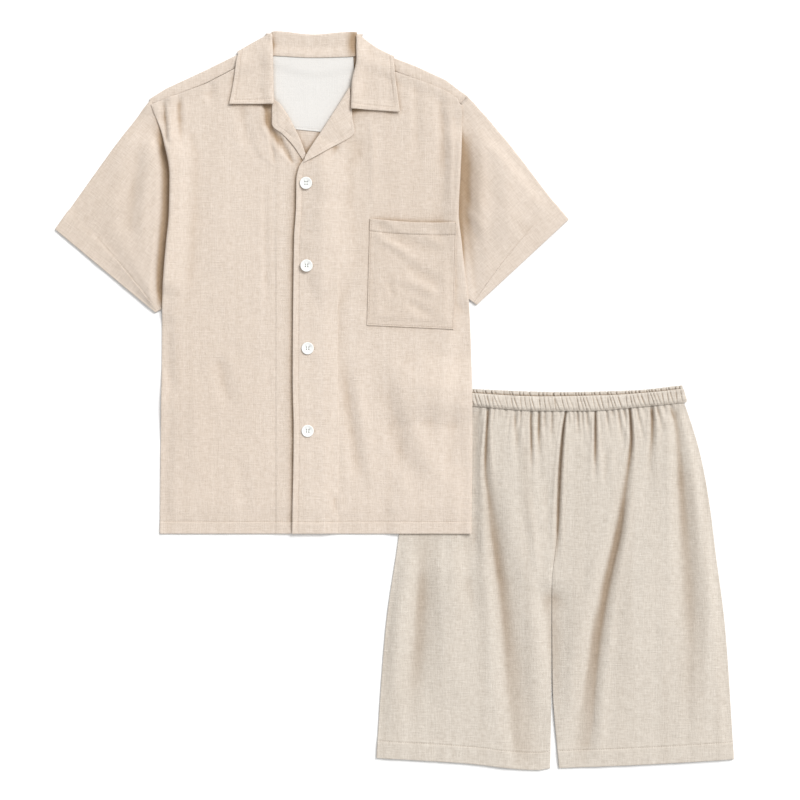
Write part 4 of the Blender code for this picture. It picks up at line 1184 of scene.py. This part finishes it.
def makeFront(word, folds):
    # from the side seam and armhole to the front edge, whose facing is folded under
    part = frontShape[word]
    isRight = word == "right"
    stitch, facing, hemUp = frontShape["edgeStitch"], part["facing"], frontShape["hemDepth"]

    def sideAt(height):
        return through(bodyShape[word + "Side"], height)

    def edgeAt(height):
        return through(rollShape[word + "Edge"], height)

    # the grid is laid out from the front edge to the side
    shares = gridLines(part["wide"], 3.4, (facing,) if isRight else (stitch, facing), (True, False))
    shares = 1 - shares[::-1] if isRight else shares
    rises = gridLines(frontShape["tall"], 3.8, (hemUp,))
    right, left = (sideAt, edgeAt) if isRight else (edgeAt, sideAt)
    x, up, head, fromRight, fromLeft, _ = panelPlan(
        part["columns"], shares, rises, lambda v: straight(bodyShape["shoulderSeam"], v) - gap, right, left)
    fromSide, fromEdge = (fromRight, fromLeft) if isRight else (fromLeft, fromRight)
    row = onShirt(x, up)
    doubled = ease((facing - fromEdge + 1.0) / 2.0) * ease((frontShape["facingTo"] - up) / 30)
    thick = clothThick(frontShape, up) + frontShape["facingThick"] * doubled
    if not isRight:
        thick = thick - groove(fromEdge - stitch) * ease((frontShape["lapelFrom"] - up) / 10)
    z = heap.under(row[0], row[1], 0.22, 3) + thick / 2
    armFoot, armHead = frontShape["armholeFoot"], frontShape["armholeHead"]
    atArm = ease((up - armFoot) / part["armhole"]) * ease((armHead - up) / 26)
    atSeam = ease((up - frontShape["shoulderFrom"]) / 20)
    loft = frontShape["loft"] * mix(ease(fromSide / 24), 0.06 + 0.94 * ease(fromSide / 26), atSeam)
    loft = loft * mix(0.45, 1.0, ease((head - up) / 26)) * mix(0.04, 1.0, ease(up / 45))
    loft = loft * mix(1.0, 0.45, swell(fromEdge, 1, 26))
    arm = swell(fromSide, part["lift"] * atArm, 20)
    air = loft + arm + frontShape["creases"] * foldHeights(x, up, folds)
    air = air + 0.4 * ripple(x, up, 30, part["ripple"]) + 0.15 * ripple(x, up, 9, 11)
    if not isRight:
        air = air + swell(fromEdge, frontShape["edgeLift"], 8)
    z = z + above(air, 0.5)
    half = rimmed(thick, fromEdge, up, head - up)
    middle = layCloth(row, z, half)
    # the side turned round and under: it moves in by the roll's radius, so that the roll ends on its line
    side = 0 if isRight else -1
    turnAt = ease((up[side] - armFoot + 7) / 20) * ease((armHead - 6 - up[side]) / 24)
    radius = mix(frontShape["sideRoll"], frontShape["armholeRoll"], turnAt)
    radius = np.minimum(radius, np.maximum(0.3, (middle[side, :, 2] - frontShape["floor"]) / 2))
    middle[..., 0] += swell(fromSide, radius[None, :], 9) * part["inward"]
    turned = np.array(rolled(middle[side], pointing(part["inward"], 0, len(rises)), radius, 7, 170))
    if isRight:
        middle, half = rollOn(middle[::-1], half[::-1], turned, 0, 0.9)
        middle, half = middle[::-1], half[::-1]
    else:
        middle, half = rollOn(middle, half, turned, 0, 0.9)
    node = "front_" + word
    front = clothPiece(node + "_cloth", middle, half, [node], "shirt_cloth")
    lineX = mix(float(sideAt(hemUp)), float(edgeAt(hemUp)), np.linspace(0.02, 0.985, 90))
    lines = [onShirt(lineX, np.full_like(lineX, hemUp))]
    if not isRight:
        rise = np.linspace(3, frontShape["lapelFrom"], 160)
        lines.append(onShirt(edgeAt(rise) + stitch, rise))
    sew(node, shirtThread, "shirt_cloth", *lines)


underCollar = makeUnderCollar()
makeBack()
makeSleeve("right")
makeSleeve("left")
makePatch()
print("back and sleeves laid")

facingShape = {
    "right": {"grain": -35, "cut": (0.12, 0.035)}, "left": {"grain": 30, "cut": (0.13, 0.06)},
    "thick": 1.05, "roll": 1.8, "lift": 1.6, "topstitch": 7.0, "tall": 115, "wide": 48, "floor": 2.6,
}


def makeFacing(word):
    # the part of the facing that is turned out as a lapel, rolled down to the front at its fold
    tall, stitch = facingShape["tall"], facingShape["topstitch"]
    part, share = crossed(gridLines(tall, 2.4), gridLines(facingShape["wide"], 2.2, (stitch,), (True, False)))
    outX, outUp = curve(rollShape[word + "LapelEdge"], part)
    inX, inUp = curve(rollShape[word + "LapelRoll"], part)
    x, up = mix(outX, inX, share), mix(outUp, inUp, share)
    wide = np.hypot(outX - inX, outUp - inUp)
    row = onShirt(x, up)
    fromEdge, fromLow, fromTop = share * wide, part * tall, (1 - part) * tall
    thick = facingShape["thick"] - groove(fromEdge - stitch, 0.5) * ease((wide - 12) / 6)
    lift = facingShape["lift"] * ease(share) * ease(part * 4)
    z = heap.under(row[0], row[1]) + thick / 2 + lift + above(0.3 * ripple(x, up, 18, 7), 0.3)
    half = rimmed(thick, fromEdge, fromLow, fromTop)
    middle = layCloth(row, z, half)
    rollLine = middle[:, -1]
    inward = pointing(*(middle[:, -4, :2] - rollLine[:, :2]).T, len(rollLine))
    radius = np.clip((rollLine[:, 2] - facingShape["floor"]) / 2, 0.2, facingShape["roll"])
    middle, half = rollOn(middle, half, np.stack(rolled(rollLine, inward, radius, 6, 175), 1))
    node, cut = "facing_" + word, facingShape[word]["cut"]
    grain = facingShape[word]["grain"]
    facing = clothPiece(node + "_cloth", middle, half, [node], "shirt_cloth", grain)


def makeLeaf(word):
    # one leaf of the collar, turned over onto the chest and round the shoulder to the back
    edgeRows, rollRows = collarShape[word + "Edge"], collarShape[word + "Roll"]
    outward = -1 if word == "right" else 1
    stitch, tall = collarShape["topstitch"], collarShape["tall"]
    parts = gridLines(90, 2.4, (stitch,), (True, False))
    across = gridLines(60, 2.4, (stitch,), (True, False))
    part, share = crossed(parts, across)
    outX, outUp = curve(edgeRows, part)
    inX, inUp = curve(rollRows, part)
    bow = collarShape[word + "Bow"] * np.sin(np.pi * share) * part ** 6
    x = mix(outX, inX, share) + outward * bow * 0.5
    up = mix(outUp, inUp, share) + bow
    row = onShirt(x, up)
    wide = np.hypot(outX - inX, outUp - inUp)
    fromEdge, fromLow, fromRoll = share * wide, part * tall, (1 - share) * wide
    thick = collarShape["thick"] - np.maximum(
        groove(fromEdge - stitch, 0.6) * ease((fromLow - stitch + 2) / 2),
        groove(fromLow - stitch, 0.6) * ease((fromEdge - stitch + 2) / 2))
    floor = heap.under(row[0], row[1], 0.25, 3)
    lift = swell(fromEdge, *collarShape["edgeLift"]) + swell(fromLow, *collarShape["footLift"]) \
        + swell(fromRoll, *collarShape["rollLift"]) * mix(1.0, 0.75, part)
    z = floor + thick / 2 + lift + above(0.4 * ripple(x, up, 22, 13), 0.3)
    half = rimmed(thick, fromEdge, fromLow)
    middle = layCloth(row, z, half)
    # down at the roll line, with a tail that goes on below
    inward = pointing(outward, 0, len(parts))
    radius = np.clip((middle[:, -1, 2] - collarShape["floor"]) / 2, 0.4, collarShape["roll"])
    turned = rolled(middle[:, -1], inward, radius, 7, 178)
    tail = turned[-1] + inward * collarShape["tail"]
    middle, half = rollOn(middle, half, np.stack(turned + [tail], 1), 1, 0.8)
    # round the shoulder, down to the surface
    last = middle[-1]
    endX, endUp = last[0, :2] - last[len(across) - 1, :2]
    down = 1 if endX < 0 else -1
    inTop = pointing(-endUp * down, endX * down, len(last))
    radius = (last[:, 2] - collarShape["surface"]) / 2
    rowsIn = swell((1 - parts) * tall, 1, 12)
    middle += rowsIn[:, None, None] * (inTop * radius[:, None])[None]
    middle, half = rollOn(middle, half, np.array(rolled(middle[-1], inTop, radius, 8, 178)), 0)
    leaf = clothPiece("collar_leaf_" + word, middle, half, ["collar"], "shirt_cloth", 4 * outward)

    def alongLeaf(run, share):
        ox, oy = curve(edgeRows, run)
        ix, iy = curve(rollRows, run)
        return onShirt(mix(ox, ix, share), mix(oy, iy, share))

    run = np.linspace(stitch / tall, 0.97, 50)
    ox, oy = curve(edgeRows, run)
    ix, iy = curve(rollRows, run)
    sew("collar_" + word, shirtThread, "shirt_cloth",
        alongLeaf(run, stitch / np.hypot(ox - ix, oy - iy)),
        alongLeaf(np.full(40, stitch / tall), np.linspace(stitch / 64, 0.97, 40)))


def makeStand():
    # behind the neck: the stand shows inside, rolls over at the top and goes on under the back
    under, underHalf = underCollar
    tall = collarShape["standTall"]
    rises = gridLines(tall, 2.2, (), (True, False))
    x, share = crossed(neckColumns, rises)
    up = mix(through(collarShape["neckSeam"], x), through(collarShape["neckRoll"], x), share)
    row = onShirt(x, up)
    thick = np.full_like(x, collarShape["standThick"])
    z = heap.under(row[0], row[1], 0.3, 2) + thick / 2
    z = z + collarShape["standLoft"] * ease(share) + 0.2 * above(ripple(x, up, 20, 21))
    z = np.maximum(z, collarShape["standTop"] * ease(share * 1.4))
    # its ends sink in beside the leaves
    leftSunk, rightSunk = collarShape["sunk"]
    sunk = swell(neckColumns[-1] - x, *leftSunk) + swell(x - neckColumns[0], *rightSunk)
    z = z - sunk * ease(share * 2)
    half = rimmed(thick, share * tall)
    stand = layCloth(row, z, half)
    radius = (stand[:, -1, 2] - under[:, -1, 2]) / 2
    stand[..., 1] -= radius[:, None] * ease(rises * 2 - 1)
    under[..., 1] -= radius[:, None] * ease(np.linspace(0, 1, under.shape[1]) * 2 - 1)
    turned = np.stack(rolled(stand[:, -1], pointing(0, -1, len(stand)), radius, 8)[:-1], 1)
    middle, half = foldOver(stand, half, turned, half[:, -1:], under[:, ::-1], underHalf[:, ::-1])
    piece = clothPiece("collar_stand", middle, half, ["collar"], "shirt_cloth")


makeStand()
makeFront("right", rightFrontFolds)
makeFacing("right")
makeFront("left", leftFrontFolds)
makeFacing("left")
makeLeaf("right")
makeLeaf("left")
print("fronts and collar laid")

pocketShape = {
    "top": ((81.5, 472), (211, 466)), "foot": ((77, 312), (207, 306)), "sag": 2.5, "wide": 130, "tall": 160,
    "thick": 1.1, "edgeThick": 0.5, "hemThick": 0.8, "hemDepth": 18.5, "edge": 2.0, "loft": 1.6,
    "mouthLift": 1.2, "cut": (0.135, 0.17),
}
pocketFolds = (
    Fold(((88, 468), (112, 448), (140, 436), (188, 412)), 6.0, 9.0, -2.3, 0.15, 0.35),
    Fold(((96, 440), (120, 430), (150, 408)), 5.0, 6.0, 1.3, 0.3, 0.3),
    Fold(((128, 405), (160, 388), (196, 366)), 6.0, 8.0, -1.7, 0.25, 0.3),
    Fold(((112, 384), (150, 372), (190, 348)), 5.0, 7.0, 1.2, 0.3, 0.3),
    Fold(((110, 380), (114, 352)), 4.0, 4.0, -1.1, 0.3, 0.3),
    Fold(((130, 350), (158, 335), (180, 322)), 6.0, 7.0, -1.6, 0.3, 0.3),
    Fold(((160, 450), (196, 428)), 7.0, 7.0, 1.3, 0.3, 0.3),
)


def makePocket():
    wide, tall, edge, hemDepth = (pocketShape[size] for size in ("wide", "tall", "edge", "hemDepth"))
    (topA, topB), (footA, footB) = np.array(pocketShape["top"]), np.array(pocketShape["foot"])

    def onPocket(share, rise, sag=pocketShape["sag"]):
        # share: across to the wearer's left; rise: up to the mouth, which sags between its ends
        x = mix(mix(footA[0], footB[0], share), mix(topA[0], topB[0], share), rise)
        mouth = mix(topA[1], topB[1], share) - sag * np.sin(np.pi * share)
        return x, mix(mix(footA[1], footB[1], share), mouth, rise)

    share, rise = crossed(gridLines(wide, 2.6, (edge, wide - edge)),
                          gridLines(tall, 2.6, (edge, tall - hemDepth)))
    x, up = onPocket(share, rise)
    row = onShirt(x, up)
    fromRight, fromLeft = share * wide, (1 - share) * wide
    fromFoot, fromTop = rise * tall, (1 - rise) * tall
    sewn = np.minimum(np.minimum(fromRight, fromLeft), fromFoot)
    thick = pocketShape["thick"] + pocketShape["edgeThick"] * ease((6 - sewn) / 2) \
        + pocketShape["hemThick"] * ease((hemDepth - fromTop + 0.8) / 1.6) \
        - groove(fromTop - hemDepth) - groove(sewn - edge, 0.6, 0.8)
    z = heap.under(row[0], row[1], 0.3, 2) + thick / 2
    air = (pocketShape["loft"] + foldHeights(x, up, pocketFolds)) * ease((sewn - 2) / 14)
    air = air + 0.15 * ripple(x, up, 9, 31)
    air = air + swell(fromTop, pocketShape["mouthLift"], 8) * ease(sewn / 12)
    z = z + above(air, 0.3) - 0.2
    half = rimmed(thick, fromRight, fromLeft, fromFoot, fromTop)
    middle = layCloth(row, z, half)
    pocket = clothPiece("chest_pocket_cloth", middle, half, ["chest_pocket"], "shirt_cloth", 2.2)
    inset = edge / wide
    down = np.linspace(1, inset, 40)
    run = np.concatenate([down, np.full(30, inset), down[::-1]])
    along = np.concatenate([np.full(40, inset), np.linspace(inset, 1 - inset, 30), np.full(40, 1 - inset)])
    sew("chest_pocket", shirtThread, "shirt_cloth", onShirt(*onPocket(along, run, 0)),
        onShirt(*onPocket(np.linspace(0.03, 0.97, 40), 1 - hemDepth / tall)))


makePocket()

buttonShape = {
    "radius": 9, "face": 1.8, "above": 0.2,      # its face over its foot, and its foot over the cloth
    "holeCircle": 2.6, "barTurns": (0, 90, 90, 90), "strand": 0.3, "strandHigh": 0.12,
    "slotEnd": 12.5, "slotPitch": 0.75, "slotWide": (0.35, 2.0), "sharp": 38,
}


def makeButtons():
    threads = Seam("button_threads", buttonThread, "button_resin")
    slots = Seam("buttonhole_stitches", shirtThread, "shirt_cloth")
    radius, pitch, strand = (buttonShape[size] for size in ("radius", "slotPitch", "strand"))
    reach = buttonShape["holeCircle"] * math.sqrt(0.5)
    for number, barTurn in enumerate(buttonShape["barTurns"], 1):
        node = "button_" + str(number)
        low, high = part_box(node)
        middle = Vector(((low.x + high.x) / 2, (low.y + high.y) / 2, 0)) / mm
        spots = [(far * math.cos(n), far * math.sin(n)) for far, count in ((radius, 12), (4, 6))
                 for n in range(count)]
        foot = float(heap.top(*(np.array(spots) + middle[:2]).T).max()) + buttonShape["above"]
        # the buttonhole: a row of short stitches on either side
        for n in range(int((buttonShape["slotEnd"] + radius) / pitch)):
            x = np.full(2, middle.x - radius + n * pitch)
            for side in (-1, 1):
                y = middle.y + side * np.array(buttonShape["slotWide"])
                start, end = (Vector(place) for place in zip(x, y, heap.top(x, y)))
                slots.stitch(start, end, max(start.z, end.z) - 0.05)
        bm = bmesh.new()
        bm.from_mesh(frame["nodes"][node].data)
        bmesh.ops.remove_doubles(bm, verts=bm.verts[:], dist=0.00001)
        bmesh.ops.translate(bm, verts=bm.verts[:], vec=(0, 0, foot * mm - low.z))
        button = linked(node + "_resin", bm, buttonResin)
        button.data.shade_smooth()
        button.data.set_sharp_from_angle(angle=math.radians(buttonShape["sharp"]))
        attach(button, "root")
        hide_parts(node)
        # the thread joins the holes in two bars
        middle.z = foot + buttonShape["face"]
        turn = math.radians(barTurn)
        along = Vector((math.cos(turn), math.sin(turn), 0)) * reach
        aside = Vector((-math.sin(turn), math.cos(turn), 0))
        for off in (-reach - strand, -reach + strand, reach - strand, reach + strand):
            threads.stitch(middle - along + aside * off, middle + along + aside * off,
                           middle.z + buttonShape["strandHigh"])
    threads.finish()
    slots.finish()


makeButtons()
print("pocket and buttons on")


# Painted shade: how deep each spot of the cloth lies between its neighbours, which darkens its colour

paintedShadeLook = {
    "fine": {"reach": 2, "slack": 0.1, "full": 1.7, "share": 0.9},
    "narrow": {"reach": 4, "slack": 0.15, "full": 4.2, "share": 0.85},
    "broad": {"reach": 15, "slack": 0.3, "full": 5.0, "share": 0.75},
    # painted shade added for whole pieces: more on the pocket, which lies double and lets less light through,
    # less on pieces that look paler because they are lit through
    "tone": {"chest_pocket_cloth": 0.10, "shirt_back_cloth": -0.62, "neck_patch_cloth": -0.5,
             "facing_right_cloth": -0.3},
    # painted shade in corners that little light gets into, and over a few broad areas: piece, x, height, half
    # width and half height on the shirt, share
    "corners": (("collar_stand", 58, 736, 9, 22, 1.4), ("collar_stand", -64, 734, 4, 22, 0.5),
                ("front_right_cloth", -70, 620, 9, 12, 0.6), ("front_right_cloth", -58, 590, 8, 14, 0.3),
                ("front_left_cloth", 60, 578, 14, 22, 0.12), ("sleeve_left_cloth", 236, 520, 18, 55, 0.35),
                ("front_right_cloth", -170, 200, 90, 200, 0.10), ("front_left_cloth", 130, 520, 90, 90, 0.08),
                ("sleeve_right_cloth", -320, 480, 100, 120, 0.10)),
}


def averaged(heights, reach, times=3):
    for _ in range(times):
        for axis in (0, 1):
            total = sum(np.roll(heights, n, axis) for n in range(-reach, reach + 1))
            heights = total / (2 * reach + 1)
    return heights


def meansOf(tops, *widths):
    return [(averaged(tops, paintedShadeLook[width]["reach"]), paintedShadeLook[width]) for width in widths]


def paintShadeInHollows():
    # painted shade from how far each spot lies below the mean height round it, in the heap as it was for its
    # garment
    shirt = meansOf(heap.tops, "narrow", "broad")
    legs = meansOf(legTops, "narrow", "broad")
    band = meansOf(shortsTops, "fine")
    for piece in bpy.context.scene.objects:
        if piece.type != "MESH" or "weave" not in piece.data.uv_layers:
            continue
        mesh = piece.data
        x, up, z = (ofVertices(mesh, "co") / mm).T
        # each piece starts from its own share of painted shade
        deep = np.full(len(x), paintedShadeLook["tone"].get(piece.name, 0.0))
        means = legs if mesh.materials[0] == clothOf["shorts_cloth"] else shirt
        # painted shade where the cloth lies below the mean height round it
        for mean, look in band if piece.name == "waistband_cloth" else means:
            drop = heap.sample(mean, (0, 0), x, up) - z - look["slack"]
            deep += look["share"] * ease(drop / look["full"])
        # painted shade in the listed corners and broad areas
        for name, cornerX, cornerUp, wide, tall, share in paintedShadeLook["corners"]:
            if name == piece.name:
                atX, atUp = onShirt(cornerX, cornerUp)
                deep += share * np.exp(-((x - atX) / wide) ** 2 - ((up - atUp) / tall) ** 2)
        # painted shade along the broadest folds of the legs
        if piece.name in ("shorts_front_right_cloth", "shorts_front_left_cloth"):
            deep += foldHeights(x - shortsAt[0], up - shortsAt[1], paintedFoldShades)
        # the painted shade is laid only on what faces up
        deep = np.clip(deep, 0, 1) * np.clip(ofVertices(mesh, "normal")[:, 2] * 3, 0, 1)
        mesh.attributes.new("paintedShade", "FLOAT", "POINT").data.foreach_set("value", deep.astype(np.float32))


paintShadeInHollows()

# Floor, light and camera

studio = {
    "floorSize": 6, "floorDown": -0.0004, "floor": {"Base Color": (0.95, 0.95, 0.95, 1), "Roughness": 0.9},
    "key": 2.75, "keyAngle": 30, "keyFrom": (0.60, 0.70, 1.10), "fill": 0.60,
    "camera": (0.008, -0.0008, 3.333), "lens": 100, "sensor": 36,
}
floorBm = bmesh.new()
bmesh.ops.create_grid(floorBm, x_segments=1, y_segments=1, size=studio["floorSize"])
bmesh.ops.translate(floorBm, verts=floorBm.verts[:], vec=(0, 0, studio["floorDown"]))
floor = linked("floor", floorBm, Paint("paleFloor").surface(studio["floor"], {}))

key = bpy.data.lights.new("keyLight", "SUN")
key.energy = studio["key"]
key.angle = math.radians(studio["keyAngle"])
keyLight = bpy.data.objects.new("keyLight", key)
keyLight.rotation_mode = "QUATERNION"
keyLight.rotation_quaternion = Vector(studio["keyFrom"]).to_track_quat("Z", "Y")
keyLight.location = Vector(studio["keyFrom"]) * 2
bpy.context.scene.collection.objects.link(keyLight)
world = bpy.data.worlds.new("studio")
world.use_nodes = True
sky = world.node_tree.nodes["Background"].inputs
sky["Color"].default_value = (1, 1, 1, 1)
sky["Strength"].default_value = studio["fill"]
bpy.context.scene.world = world
bpy.context.scene.view_settings.view_transform = "Standard"

lens = bpy.data.cameras.new("camera")
lens.lens = studio["lens"]
lens.sensor_width = studio["sensor"]
camera = bpy.data.objects.new("camera", lens)
camera.location = studio["camera"]
bpy.context.scene.collection.objects.link(camera)
bpy.context.scene.camera = camera
print("studio set")
